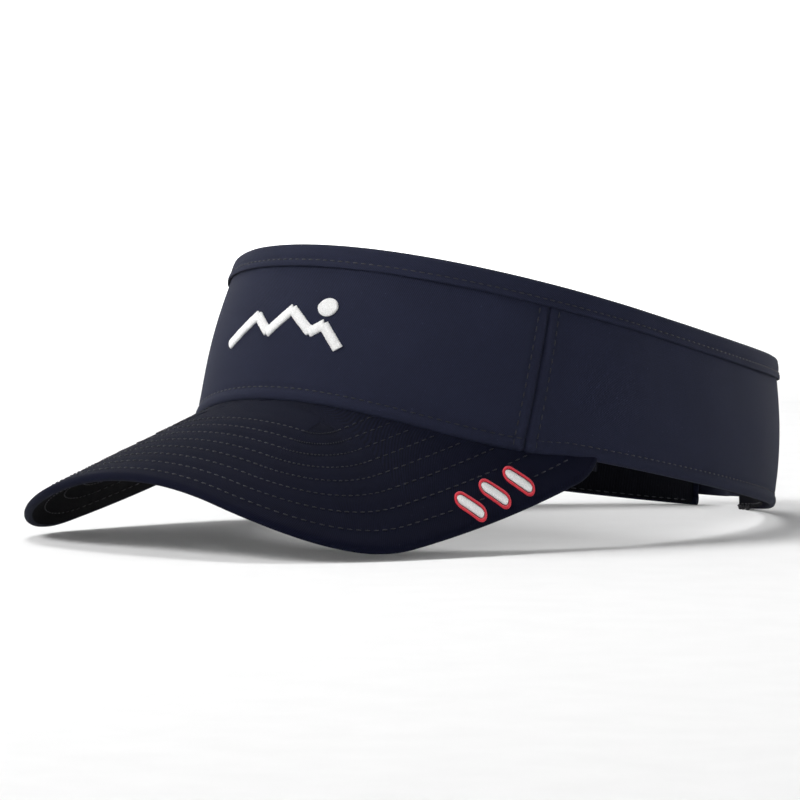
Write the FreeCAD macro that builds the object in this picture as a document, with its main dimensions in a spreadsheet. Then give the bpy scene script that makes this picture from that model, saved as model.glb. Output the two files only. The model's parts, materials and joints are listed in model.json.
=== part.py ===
import FreeCAD, Part
import Sketcher
import math
import os

from FreeCAD import Placement, Rotation, Vector

# Sun visor: a crown band of sewn cloth layers, a curved stiff brim and a hook-and-loop strap at the back.
#
# Everything is modelled in the band's own frame: Z is the band's upright direction, -Y points to the
# front where the brim is, +X is the wearer's left, and the origin is in the middle of the band's length
# at the height of its lower edge. One placement, worked out at the end, then stands the whole visor on
# its brim and its rear edge.

# ----------------------------------------------------------------------------------------------------
# Driving dimensions, in millimetres and degrees
# ----------------------------------------------------------------------------------------------------
DIMENSIONS = [
    # crown band, measured on the outside of its lower edge
    ("band_length", 206.0),
    ("band_width", 158.0),
    ("front_half", 80.0),          # from the band's front to its widest line
    ("rear_radius", 42.0),         # round stretch that carries the strap
    ("front_lean", 12.6),
    ("side_lean", 4.9),
    ("rear_lean", 5.8),
    ("front_height", 58.6),
    ("middle_height", 43.4),
    ("rear_height", 43.1),
    ("side_low", -2.9),            # lower edge halfway from the temple to the rear
    ("rear_low", -4.2),
    ("seam_angle", 59.8),          # where the side seams lie, from the front
    ("rear_gap_angle", 15.0),      # half of the opening at the back
    # cloth layers
    ("fabric", 0.8),
    ("ply_gap", 0.1),
    ("tape", 0.5),
    ("sweatband_thickness", 0.9),
    ("sweatband_height", 30.0),
    ("foam_height", 16.0),
    ("foam_half_width", 58.0),
    ("binding_height", 6.8),
    ("binding_fabric", 0.7),
    ("seam_tape_width", 10.0),
    # brim
    ("brim_reach", 54.0),
    ("brim_half_width", 79.0),
    ("brim_wrap", 52.0),           # from the band's front back to the brim's ends
    ("brim_front_radius", 190.0),
    ("brim_corner_radius", 50.0),
    ("brim_side_radius", 450.0),
    ("brim_end_radius", 20.0),
    ("brim_arch_radius", 107.5),
    ("brim_slope", 26.0),
    ("brim_root_height", 8.0),
    ("brim_cover", 0.6),
    ("brim_board_thickness", 1.3),
    ("brim_rim", 1.1),
    ("brim_rows", 8),
    ("brim_row_pitch", 5.4),
    ("brim_seam_height", 7.0),
    # closure
    ("strap_thickness", 1.0),
    ("strap_height", 22.0),
    ("strap_bottom", -0.5),
    ("strap_clearance", 0.45),
    ("strap_root_angle", 34.0),
    ("strap_tab_angle", 34.0),
    ("strap_jog_angle", 6.5),
    ("strap_hinge_angle", 9.0),
    ("strap_travel", 7.0),
    ("hook_tape", 0.7),
    ("loop_tape", 0.8),
    ("tape_margin", 2.5),
    # stitching, marks and labels
    ("thread", 0.35),
    ("thread_height", 0.2),
    ("topstitch_offset", 3.5),
    ("hem_stitch_height", 4.0),
    ("mark_offset", -4.0),
    ("mark_height", 31.0),
    ("mark_width", 47.0),
    ("mark_rise", 11.0),
    ("mark_stroke", 2.6),
    ("mark_thickness", 0.7),
    ("brim_mark_edge_distance", 5.4),   # from the brim's side to the middle of the mark
    ("brim_mark_setback", 23.5),        # from the band's front back to the middle of the mark
    ("brim_mark_pitch", 9.4),
    ("brim_mark_bar_x", 4.2),
    ("brim_mark_bar_y", 3.2),
    ("brim_mark_bar_width", 3.0),
    ("brim_mark_border", 0.9),
    ("label_thickness", 0.3),
    ("label_width", 34.0),
    ("label_height", 16.0),
]

BIG = 400.0                        # half-spaces and prisms reach well past the visor
LOFT_LOW, LOFT_HIGH = -45.0, 75.0  # the band's surfaces are made between these heights
ARCH_SPAN = 180.0                  # only the upper half of the arch's cylinders is used

doc = FreeCAD.newDocument("SunVisor")
sheet = doc.addObject("Spreadsheet::Sheet", "Dims")
for row, (alias, value) in enumerate(DIMENSIONS, start=1):
    sheet.set(f"A{row}", alias)
    sheet.set(f"B{row}", str(value))
    sheet.setAlias(f"B{row}", alias)
doc.recompute()


def dim(name):
    """The value of one cell of the sheet."""
    return float(sheet.get(name))


def slope(name):
    """The sideways run per millimetre of height of a lean held in the sheet."""
    return math.tan(math.radians(dim(name)))


# ----------------------------------------------------------------------------------------------------
# The cloth stack, as distances from the band's outer face (negative is inwards)
# ----------------------------------------------------------------------------------------------------
PANEL_IN = -dim("fabric")
TAPE_OUT = PANEL_IN - dim("ply_gap")
TAPE_IN = TAPE_OUT - dim("tape")
STRAP_OUT = PANEL_IN - dim("strap_clearance")
STRAP_IN = STRAP_OUT - dim("strap_thickness")
SWEAT_OUT = min(STRAP_IN, TAPE_IN - dim("strap_thickness")) - dim("strap_clearance")
SWEAT_IN = SWEAT_OUT - dim("sweatband_thickness")
FOAM_OUT = TAPE_IN - dim("ply_gap")
FOAM_IN = SWEAT_OUT + dim("ply_gap")
BINDING_OUT = dim("ply_gap") + dim("binding_fabric")
BINDING_IN = PANEL_IN - dim("ply_gap") - dim("binding_fabric")
BRIM_THICKNESS = 2 * dim("brim_cover") + dim("brim_board_thickness") + 2 * dim("ply_gap")

HALF_LENGTH = dim("band_length") / 2
WIDEST_Y = -HALF_LENGTH + dim("front_half")
REAR_HALF = dim("band_length") - dim("front_half")
REAR_AXIS = Vector(0, WIDEST_Y + REAR_HALF - dim("rear_radius"), 0)
TEMPLE_Y = -HALF_LENGTH + dim("brim_wrap")


# ----------------------------------------------------------------------------------------------------
# Surfaces of the band
# ----------------------------------------------------------------------------------------------------
def quarter_ellipse(side, half_width, front, height):
    """The band's front from its middle to its widest line, on one side."""
    curve = Part.BezierCurve()
    curve.setPoles([
        Vector(0, WIDEST_Y - front, height),
        Vector(side * half_width, WIDEST_Y - front, height),
        Vector(side * half_width, WIDEST_Y, height),
    ])
    curve.setWeight(2, math.sqrt(0.5))
    return curve.toShape()


def band_outline(height, offset):
    """The closed outline of the band at a height, moved outwards by an offset."""
    half_width = dim("band_width") / 2 + offset - slope("side_lean") * height
    front = dim("front_half") + offset - slope("front_lean") * height
    rear = REAR_HALF + offset - slope("rear_lean") * height
    radius = dim("rear_radius") + offset - slope("rear_lean") * height
    # the side arc is tangent to the widest line and to the rear arc
    reach, spare = rear - radius, half_width - radius
    side_centre = (reach ** 2 - spare ** 2) / (2 * spare)
    side_radius = half_width + side_centre
    junction = math.atan2(reach, side_centre)

    def on_side(angle, side):
        x = side_radius * math.cos(angle) - side_centre
        return Vector(side * x, WIDEST_Y + side_radius * math.sin(angle), height)

    def side_arc(side):
        return Part.Arc(on_side(0, side), on_side(junction / 2, side), on_side(junction, side)).toShape()

    rear_tip = Vector(0, WIDEST_Y + rear, height)
    rear_arc = Part.Arc(on_side(junction, 1), rear_tip, on_side(junction, -1)).toShape()
    return Part.Wire([
        quarter_ellipse(1, half_width, front, height),
        side_arc(1),
        rear_arc,
        side_arc(-1),
        quarter_ellipse(-1, half_width, front, height),
    ])


def band_core(offset):
    """The solid inside the band's outer face moved by an offset."""
    sections = [band_outline(LOFT_LOW, offset), band_outline(LOFT_HIGH, offset)]
    return Part.makeLoft(sections, True, True)


def band_layer(outer, inner):
    """A closed ring of cloth between two offsets, taller than the band."""
    return band_core(outer).cut(band_core(inner))


def through_three(values):
    """An arc over the band's length with given heights at the front, middle and rear."""
    front, middle, rear = values

    def height(share):
        sag = middle - (front + rear) / 2
        return front + (rear - front) * share + 4 * sag * share * (1 - share)

    return height


def edge_arc(height, start_y, end_y, first_y, last_y):
    """The arc of an edge in the side view, run on past both ends of the stretch it is given for."""
    span = last_y - first_y

    def point(y):
        return Vector(0, y, height((y - first_y) / span))

    return Part.Arc(point(start_y), point((start_y + end_y) / 2), point(end_y)).toShape()


TOP_LINE = through_three((dim("front_height"), dim("middle_height"), dim("rear_height")))


def temple_height():
    """The height at which the brim's upper face meets the band at the temple."""
    share = (TEMPLE_Y - WIDEST_Y) / dim("front_half")
    x = dim("band_width") / 2 * math.sqrt(1 - share ** 2)
    return brim_height(x, TEMPLE_Y)


def brim_height(x, y):
    """The height of the brim's upper face over a point of its plan."""
    radius, tilt = dim("brim_arch_radius"), math.radians(dim("brim_slope"))
    fall = (radius - math.sqrt(radius ** 2 - x ** 2)) / math.cos(tilt)
    return dim("brim_root_height") + (y + HALF_LENGTH) * math.tan(tilt) - fall


LOW_LINE = through_three((temple_height(), dim("side_low"), dim("rear_low")))


def side_slab(wire):
    """A wide solid with a given outline in the side view."""
    face = Part.Face(wire)
    face.translate(Vector(-BIG / 2, 0, 0))
    return face.extrude(Vector(BIG, 0, 0))


def below_line(line, first_y, last_y, lift=0.0):
    """Everything below an edge line of the side view, raised by a lift."""
    margin = 25.0
    start, end = first_y - margin, last_y + margin
    arc = edge_arc(line, start, end, first_y, last_y)
    arc.translate(Vector(0, 0, lift))
    first, last = arc.Vertexes[0].Point, arc.Vertexes[-1].Point
    corner_last, corner_first = Vector(0, last.y, -BIG), Vector(0, first.y, -BIG)
    ring = Part.makePolygon([last, corner_last, corner_first, first])
    return side_slab(Part.Wire([arc] + ring.Edges))


def below_top(lift=0.0):
    """Everything below the band's top edge."""
    return below_line(TOP_LINE, -HALF_LENGTH, HALF_LENGTH, lift)


def half_space(point, normal):
    """Everything on the far side of a plane, where its normal points."""
    block = Part.makeBox(BIG, BIG, BIG, Vector(-BIG / 2, -BIG / 2, 0))
    block.Placement = Placement(point, Rotation(Vector(0, 0, 1), normal))
    return block


def below_low(lift=0.0):
    """Everything below the side panels' lower edge, behind the temples."""
    behind = half_space(Vector(0, TEMPLE_Y, 0), Vector(0, 1, 0))
    return below_line(LOW_LINE, TEMPLE_Y, HALF_LENGTH, lift).common(behind)


# ----------------------------------------------------------------------------------------------------
# The brim's arch: cylinders on one axis that slopes down to the front
# ----------------------------------------------------------------------------------------------------
def arch_placement():
    """Where the arch's cylinders start, and the way their axis runs."""
    tilt = math.radians(dim("brim_slope"))
    top_of_root = Vector(0, -HALF_LENGTH, dim("brim_root_height"))
    axis = Vector(0, -math.cos(tilt), -math.sin(tilt))
    upward = Vector(0, -math.sin(tilt), math.cos(tilt))
    start = top_of_root - upward * dim("brim_arch_radius") - axis * BIG / 2
    return Placement(start, Rotation(Vector(1, 0, 0), upward, axis, "ZYX"))


def under_arch(lift):
    """Everything under the brim's upper face moved by a lift, in front of the temples."""
    core = Part.makeCylinder(dim("brim_arch_radius") + lift, BIG, Vector(), Vector(0, 0, 1), ARCH_SPAN)
    core.Placement = arch_placement()
    return core.common(half_space(Vector(0, TEMPLE_Y, 0), Vector(0, -1, 0)))


def above_lower_edge(shape, lift):
    """Trims a band layer to a lift above the brim and above the side panels' lower edge."""
    return shape.cut(under_arch(lift)).cut(below_low(lift))


# ----------------------------------------------------------------------------------------------------
# Cutting planes of the band
# ----------------------------------------------------------------------------------------------------
def seam_point(side, height):
    """The place of a side seam on the band's outer face."""
    angle = math.radians(dim("seam_angle"))
    half_width = dim("band_width") / 2 - slope("side_lean") * height
    front = dim("front_half") - slope("front_lean") * height
    reach = math.hypot(half_width * math.sin(angle), front * math.cos(angle))
    x = half_width ** 2 * math.sin(angle) / reach
    return Vector(side * x, WIDEST_Y - front ** 2 * math.cos(angle) / reach, height)


def seam_plane(side, forward, shift):
    """A half-space bounded at a side seam, moved backwards along the band by a shift."""
    angle = math.radians(dim("seam_angle"))
    low, high = seam_point(side, 0), seam_point(side, dim("middle_height"))
    outward = Vector(side * math.sin(angle), -math.cos(angle), 0)
    backward = (high - low).cross(outward).normalize() * side
    if backward.y < 0:
        backward = backward * -1
    point = low + backward * shift
    return half_space(point, backward * -1 if forward else backward)


def between_seams(shape, shift):
    """The front stretch of a band layer."""
    return shape.common(seam_plane(1, True, shift)).common(seam_plane(-1, True, shift))


def rear_plane(side, angle):
    """A half-space that begins at an angle from the back of the band and runs round one side."""
    turn = math.radians(angle)
    return half_space(REAR_AXIS, Vector(side * math.cos(turn), -math.sin(turn), 0))


def open_at_rear(shape, extra=0.0):
    """Takes the opening at the back out of a band layer."""
    angle = dim("rear_gap_angle") + extra
    kept = rear_plane(1, angle).fuse(rear_plane(-1, angle))
    ahead = half_space(REAR_AXIS, Vector(0, -1, 0))
    return shape.common(kept.fuse(ahead))


def behind_seam(shape, side, shift):
    """The stretch of a band layer from a side seam to the opening at the back."""
    half = half_space(Vector(0, 0, 0), Vector(side, 0, 0))
    return open_at_rear(shape.common(half).common(seam_plane(side, False, shift)))


# ----------------------------------------------------------------------------------------------------
# Rear shells: cones on the rear axis, which stay parallel to the band's round rear stretch
# ----------------------------------------------------------------------------------------------------
def rear_radius_at(offset, height):
    """The radius of the band's rear face at a height."""
    return dim("rear_radius") + offset - slope("rear_lean") * height


def rear_shell(outer, inner, bottom, top, start, end):
    """A curved plate behind the rear axis; angles run from the back towards the wearer's left."""
    def cone(offset):
        return Part.makeCone(rear_radius_at(offset, bottom), rear_radius_at(offset, top), top - bottom,
                             Vector(0, 0, 0), Vector(0, 0, 1), end - start)

    plate = cone(outer).cut(cone(inner))
    plate.Placement = Placement(REAR_AXIS + Vector(0, 0, bottom), Rotation(Vector(0, 0, 1), 90 - end))
    return plate


STRAP_TOP = dim("strap_bottom") + dim("strap_height")
LOOP_OUT = dim("ply_gap") + dim("loop_tape")
HOOK_IN = LOOP_OUT + dim("strap_clearance")
HOOK_OUT = HOOK_IN + dim("hook_tape")
TAB_IN = HOOK_OUT + dim("ply_gap")
TAB_OUT = TAB_IN + dim("strap_thickness")


def strap_jog():
    """The stretch of strap that steps out from inside the band to lie over it."""
    jog = dim("strap_jog_angle")
    sections = []
    for step in range(9):
        share = step / 8
        angle = math.radians(jog * (1 - 2 * share))
        rise = (1 - math.cos(math.pi * share)) / 2
        outer = STRAP_OUT + (TAB_OUT - STRAP_OUT) * rise
        corners = []
        for offset, height in [(outer, dim("strap_bottom")), (outer, STRAP_TOP),
                               (outer - dim("strap_thickness"), STRAP_TOP),
                               (outer - dim("strap_thickness"), dim("strap_bottom"))]:
            radius = rear_radius_at(offset, height)
            corners.append(REAR_AXIS + Vector(radius * math.sin(angle), radius * math.cos(angle), height))
        sections.append(Part.makePolygon(corners + corners[:1]))
    return Part.makeLoft(sections, True, False)


# ----------------------------------------------------------------------------------------------------
# Document objects
# ----------------------------------------------------------------------------------------------------
subparts = {}


def keep(name, item):
    """Names a finished sub-part after its node."""
    item.Label = name
    subparts[name] = item
    return item


def shaped(name, shape):
    """A piece of sewn cloth whose curved faces no single feature makes."""
    item = doc.addObject("Part::Feature", name)
    item.Shape = shape
    return item


def cloth(name, shape):
    """Keeps a piece of sewn cloth as a sub-part."""
    return keep(name, shaped(name, shape))


def combined(kind, name, base, tool):
    """A boolean of two objects of the document: Part::Cut, Part::Common or Part::Fuse."""
    item = doc.addObject(kind, name)
    item.Base, item.Tool = base, tool
    return item


def arch_cylinder(name, depth):
    """Half a cylinder on the brim's arch axis, at a depth below the brim's upper face."""
    item = doc.addObject("Part::Cylinder", name)
    item.Angle = ARCH_SPAN
    item.setExpression("Radius", f"Dims.brim_arch_radius - ({depth})")
    item.Height = BIG
    item.Placement = arch_placement()
    return item


def arch_shell(name, top, bottom):
    """The plate of the brim between two depths below its upper face."""
    outer = arch_cylinder(f"{name}_outer", top)
    inner = arch_cylinder(f"{name}_inner", bottom)
    return combined("Part::Cut", f"{name}_shell", outer, inner)


def brim_arc_centres():
    """The centres of the outline's front arc, right corner arc and right side arc."""
    tip_y = -HALF_LENGTH - dim("brim_reach")
    front = Vector(0, tip_y + dim("brim_front_radius"), 0)
    side = Vector(dim("brim_half_width") - dim("brim_side_radius"), TEMPLE_Y, 0)
    to_front = dim("brim_front_radius") - dim("brim_corner_radius")
    to_side = dim("brim_side_radius") - dim("brim_corner_radius")
    line = side - front
    along = (to_front ** 2 - to_side ** 2 + line.Length ** 2) / (2 * line.Length)
    across = math.sqrt(to_front ** 2 - along ** 2)
    line.normalize()
    options = [front + line * along + Vector(-line.y, line.x, 0) * sign * across for sign in (1, -1)]
    corner = max(options, key=lambda point: point.x - point.y)
    return front, corner, side


def outline_arc(centre, radius, start, end):
    """An arc of the outline that runs anticlockwise between two directions, in radians."""
    return Part.ArcOfCircle(Part.Circle(centre, Vector(0, 0, 1), radius), start, end)


def direction(start, end):
    """The direction from one point to another, in radians."""
    return math.atan2(end.y - start.y, end.x - start.x)


def brim_outline(name, inset, inset_value):
    """A sketch of the brim in plan: five tangent arcs, and two more that tuck its ends under the band."""
    front, corner, side = brim_arc_centres()
    mirrored_corner, mirrored_side = Vector(-corner.x, corner.y, 0), Vector(-side.x, side.y, 0)
    end_radius = dim("brim_end_radius")
    end = Vector(dim("brim_half_width") - end_radius, TEMPLE_Y, 0)
    mirrored_end = Vector(-end.x, end.y, 0)
    front_radius = dim("brim_front_radius") - inset_value
    corner_radius = dim("brim_corner_radius") - inset_value
    side_radius = dim("brim_side_radius") - inset_value
    end_radius = end_radius - inset_value
    front_start, front_end = direction(front, mirrored_corner), direction(front, corner)
    side_start = direction(side, corner)
    sketch = doc.addObject("Sketcher::SketchObject", name)
    sketch.Placement = Placement(Vector(0, 0, -BIG / 2), Rotation())
    back_y = TEMPLE_Y + end_radius
    sketch.addGeometry([
        outline_arc(front, front_radius, front_start, front_end),
        outline_arc(corner, corner_radius, front_end, side_start),
        outline_arc(side, side_radius, side_start, 0),
        outline_arc(end, end_radius, 0, math.pi / 2),
        Part.LineSegment(Vector(end.x, back_y, 0), Vector(-end.x, back_y, 0)),
        outline_arc(mirrored_end, end_radius, math.pi / 2, math.pi),
        outline_arc(mirrored_side, side_radius, math.pi, math.pi - side_start),
        outline_arc(mirrored_corner, corner_radius, math.pi - side_start, front_start),
    ])
    joints = [(0, 2, 1, 1), (1, 2, 2, 1), (2, 2, 3, 1), (3, 2, 4, 1),
              (4, 2, 5, 1), (5, 2, 6, 1), (6, 2, 7, 1), (7, 2, 0, 1)]
    for joint in joints:
        sketch.addConstraint(Sketcher.Constraint("Tangent", *joint))
    radii = {"brim_front_radius": (0,), "brim_corner_radius": (1, 7),
             "brim_side_radius": (2, 6), "brim_end_radius": (3, 5)}
    for alias, arcs in radii.items():
        for arc in arcs:
            bind(sketch, ("Radius", arc), dim(alias) - inset_value, f"Dims.{alias} - ({inset})")
    bind(sketch, ("DistanceX", -1, 1, 0, 3), 0.0, "0")
    tip = "-Dims.band_length / 2 - Dims.brim_reach"
    bind(sketch, ("DistanceY", -1, 1, 0, 3), front.y, f"{tip} + Dims.brim_front_radius")
    temple = "-Dims.band_length / 2 + Dims.brim_wrap"
    for arc, sign in ((2, ""), (6, "-")):
        bind(sketch, ("DistanceY", -1, 1, arc, 3), TEMPLE_Y, temple)
        bind(sketch, ("DistanceX", -1, 1, arc, 3), side.x if sign == "" else -side.x,
             f"{sign}(Dims.brim_half_width - Dims.brim_side_radius)")
    for arc in (3, 5):
        bind(sketch, ("DistanceY", -1, 1, arc, 3), TEMPLE_Y, temple)
    return sketch


def bind(sketch, constraint, value, expression):
    """Adds a dimension to a sketch and ties it to the sheet."""
    index = sketch.addConstraint(Sketcher.Constraint(*constraint, value))
    sketch.setExpression(f"Constraints[{index}]", expression)


def outline_prism(name, inset, inset_value):
    """Everything inside the brim's outline in plan, moved inwards by an inset."""
    item = doc.addObject("Part::Extrusion", name)
    item.Base = brim_outline(f"{name}_sketch", inset, inset_value)
    item.DirMode = "Custom"
    item.Dir = Vector(0, 0, 1)
    item.LengthFwd = BIG
    item.Solid = True
    return item


# ----------------------------------------------------------------------------------------------------
# Crown band
# ----------------------------------------------------------------------------------------------------
PLY = dim("ply_gap")
SIDES = {"left": 1, "right": -1}


def crown_layer(outer, inner, top_lift, low_lift):
    """A band layer trimmed to the band's top edge and lower edge."""
    return above_lower_edge(band_layer(outer, inner).common(below_top(top_lift)), low_lift)


def make_panels():
    """The face fabric: a front panel and two side panels, butted at the side seams."""
    shell = crown_layer(0, PANEL_IN, -PLY, PLY)
    cloth("front_panel", between_seams(shell, -PLY / 2))
    for word, side in SIDES.items():
        cloth(f"{word}_side_panel", behind_seam(shell, side, PLY / 2))


def make_stiffener():
    """The buckram behind the front panel, which stops short of the binding and of the seam tapes."""
    shell = crown_layer(TAPE_OUT, TAPE_IN, -dim("binding_height") - PLY, PLY)
    cloth("front_stiffener", between_seams(shell, -dim("seam_tape_width") / 2 - PLY))


def make_seam_tapes():
    """The tapes that cover the side seams on the inside."""
    shell = crown_layer(TAPE_OUT, TAPE_IN, -dim("binding_height") - PLY, PLY)
    half = dim("seam_tape_width") / 2
    for word, side in SIDES.items():
        strip = shell.common(seam_plane(side, True, half)).common(seam_plane(side, False, -half))
        cloth(f"{word}_seam_tape", strip.common(half_space(Vector(0, 0, 0), Vector(side, 0, 0))))


def make_binding():
    """The tape folded over the band's top edge, from one end of the band to the other."""
    fold = dim("binding_fabric")
    body = band_layer(BINDING_OUT, BINDING_IN).common(below_top(fold))
    body = body.cut(below_top(fold - dim("binding_height")))
    slot = band_layer(BINDING_OUT - fold, BINDING_IN + fold).common(below_top(0))
    cloth("top_binding", open_at_rear(body.cut(slot)))


def make_sweatband():
    """The soft strip that lies against the head, and the foam behind its front."""
    front_top = through_three((dim("brim_root_height") + dim("sweatband_height"),
                               dim("side_low") + dim("sweatband_height") + 2,
                               dim("rear_low") + dim("sweatband_height")))
    below = below_line(front_top, -HALF_LENGTH, HALF_LENGTH)
    strip = band_layer(SWEAT_OUT, SWEAT_IN).common(below)
    strip = strip.cut(under_arch(-BRIM_THICKNESS)).cut(below_low(PLY))
    cloth("sweatband", open_at_rear(strip))
    low = dim("brim_seam_height") + 2 * PLY
    pad = band_layer(FOAM_OUT, FOAM_IN).common(under_arch(low + dim("foam_height"))).cut(under_arch(low))
    width = dim("foam_half_width")
    window = Part.makeBox(2 * width, BIG, 2 * BIG, Vector(-width, WIDEST_Y - BIG, -BIG))
    cloth("sweatband_foam", pad.common(window))


def make_labels():
    """Two blank labels sewn to the inside: a woven one at the front and a small one at the side."""
    thickness = dim("label_thickness")
    shell = band_layer(SWEAT_IN - PLY, SWEAT_IN - PLY - thickness)
    width, height = dim("label_width"), dim("label_height")
    low = dim("brim_root_height") + (dim("sweatband_height") - height) / 2
    front = Part.makeBox(width, BIG, height, Vector(-width / 2, WIDEST_Y - BIG, low))
    cloth("maker_label", shell.common(front))
    small = height * 0.75
    side_low = (dim("sweatband_height") - height) / 2 + dim("side_low")
    side = Part.makeBox(BIG, small, height, Vector(-BIG, WIDEST_Y, side_low))
    cloth("care_label", shell.common(side))


def bar(start, end, width, height_axis):
    """A straight stroke with round ends, drawn through everything along an axis."""
    along = end - start
    across = along.cross(height_axis).normalize() * width / 2
    corners = [start + across, end + across, end - across, start - across]
    stroke = Part.Face(Part.makePolygon(corners + corners[:1])).extrude(height_axis * BIG)
    for point in (start, end):
        stroke = stroke.fuse(Part.makeCylinder(width / 2, BIG, point, height_axis))
    return stroke


def strokes(points, width, height_axis):
    """A run of strokes through several points."""
    whole = bar(points[0], points[1], width, height_axis)
    for start, end in zip(points[1:], points[2:]):
        whole = whole.fuse(bar(start, end, width, height_axis))
    return whole


def make_front_mark():
    """A generic raised mark of satin stitch: a ridge of three peaks under a small disc."""
    width, rise = dim("mark_width"), dim("mark_rise")
    plan = [(-0.5, -0.5), (-0.24, 0.3), (-0.1, -0.15), (0.08, 0.5),
            (0.27, -0.1), (0.36, 0.12), (0.5, -0.5)]
    middle = Vector(dim("mark_offset"), 0, dim("mark_height"))
    points = [middle + Vector(x * width, 0, z * rise) for x, z in plan]
    forward = Vector(0, -1, 0)
    ridge = strokes(points, dim("mark_stroke"), forward)
    disc_place = middle + Vector(0.36 * width, 0, 0.6 * rise)
    disc = Part.makeCylinder(dim("mark_stroke") * 0.9, BIG, disc_place, forward)
    shell = band_layer(PLY / 2 + dim("mark_thickness"), PLY / 2)
    cloth("front_embroidery", shell.common(ridge.fuse(disc)))


# ----------------------------------------------------------------------------------------------------
# Brim
# ----------------------------------------------------------------------------------------------------
def make_brim():
    """Two covers round a stiff board, its stitched rows, and the tape over the seam inside the band."""
    cover, board = dim("brim_cover"), dim("brim_board_thickness")
    root = band_core(FOAM_OUT + PLY)
    band = crown_layer(PLY, FOAM_OUT, PLY, 0)
    room = shaped("band_room", root.fuse(band))
    full = outline_prism("brim_plan", "0", 0.0)
    inner = outline_prism("board_plan", "Dims.brim_rim", dim("brim_rim"))
    top_depth = "Dims.brim_cover"
    board_top = "Dims.brim_cover + Dims.ply_gap"
    board_bottom = f"{board_top} + Dims.brim_board_thickness"
    under_top = f"{board_bottom} + Dims.ply_gap"
    under_bottom = f"{under_top} + Dims.brim_cover"

    plate = combined("Part::Common", "top_cover_plate", arch_shell("top_cover", "0", top_depth), full)
    deep = combined("Part::Common", "rim_plate", arch_shell("rim", "0", board_bottom), full)
    rim = combined("Part::Cut", "rim_ring", deep, inner)
    wrapped = combined("Part::Fuse", "top_cover_wrapped", plate, rim)
    keep("brim_top_cover", combined("Part::Cut", "brim_top_cover", wrapped, room))

    core = outline_prism("core_plan", "Dims.brim_rim + Dims.ply_gap", dim("brim_rim") + PLY)
    plate = combined("Part::Common", "board_plate", arch_shell("board", board_top, board_bottom), core)
    keep("brim_board", combined("Part::Cut", "brim_board", plate, room))

    plate = combined("Part::Common", "bottom_plate", arch_shell("bottom", under_top, under_bottom), full)
    keep("brim_bottom_cover", combined("Part::Cut", "brim_bottom_cover", plate, room))

    tape = band_layer(FOAM_OUT, FOAM_OUT - dim("tape")).common(under_arch(dim("brim_seam_height")))
    cloth("brim_seam_tape", tape.cut(under_arch(-BRIM_THICKNESS)))
    return room


def make_brim_stitching(room):
    """Rows of thread that follow the brim's outline."""
    pitch, first = dim("brim_row_pitch"), dim("brim_row_pitch") * 0.8
    skin = under_arch(PLY / 2 + dim("thread_height")).cut(under_arch(PLY / 2))
    covered = [room.Shape] + mark_bars(mark_edge_width() + 2 * PLY)
    rows = []
    for index in range(int(dim("brim_rows"))):
        inset = first + pitch * index
        ring = prism_at(inset).cut(prism_at(inset + dim("thread")))
        rows += skin.common(ring).cut(covered).Solids
    cloth("brim_stitching", Part.makeCompound(rows))


def prism_at(inset):
    """Everything inside the brim's outline moved inwards and cut off at the temples, for the rows."""
    front, corner, side = brim_arc_centres()
    front_end, side_start = direction(front, corner), direction(side, corner)
    arcs = [
        outline_arc(front, dim("brim_front_radius") - inset, -math.pi / 2, front_end),
        outline_arc(corner, dim("brim_corner_radius") - inset, front_end, side_start),
        outline_arc(side, dim("brim_side_radius") - inset, side_start, 0),
    ]
    tip, end = arcs[0].StartPoint, arcs[-1].EndPoint
    closing = Part.makePolygon([end, Vector(0, end.y, 0), tip])
    half = Part.Face(Part.Wire([arc.toShape() for arc in arcs] + closing.Edges))
    half.translate(Vector(0, 0, -BIG / 2))
    prism = half.extrude(Vector(0, 0, BIG))
    return prism.fuse(prism.mirror(Vector(0, 0, 0), Vector(1, 0, 0)))


def mark_bars(width):
    """The three slanted bars of the brim's mark, at a stroke width, drawn through everything."""
    middle_x = dim("brim_half_width") - dim("brim_mark_edge_distance")
    middle_y = -HALF_LENGTH + dim("brim_mark_setback")
    reach = Vector(dim("brim_mark_bar_x"), dim("brim_mark_bar_y"), 0) / 2
    bars = []
    for index in (-1, 0, 1):
        middle = Vector(middle_x, middle_y + index * dim("brim_mark_pitch"), -BIG / 2)
        bars.append(bar(middle - reach, middle + reach, width, Vector(0, 0, 1)))
    return bars


def make_brim_mark():
    """A generic mark of satin stitch on the wearer's left: slanted bars with a border round each."""
    shell = under_arch(PLY / 2 + dim("mark_thickness")).cut(under_arch(PLY / 2))
    width = dim("brim_mark_bar_width")
    fills = [shell.common(inside) for inside in mark_bars(width)]
    holes = mark_bars(width + 2 * PLY)
    edges = [outer.cut(hole) for outer, hole in zip(mark_bars(mark_edge_width()), holes)]
    cloth("brim_mark_fill", Part.makeCompound(fills))
    cloth("brim_mark_outline", Part.makeCompound([shell.common(edge) for edge in edges]))


def mark_edge_width():
    """The width of a bar of the brim's mark with its border."""
    return dim("brim_mark_bar_width") + 2 * dim("brim_mark_border")


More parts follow.
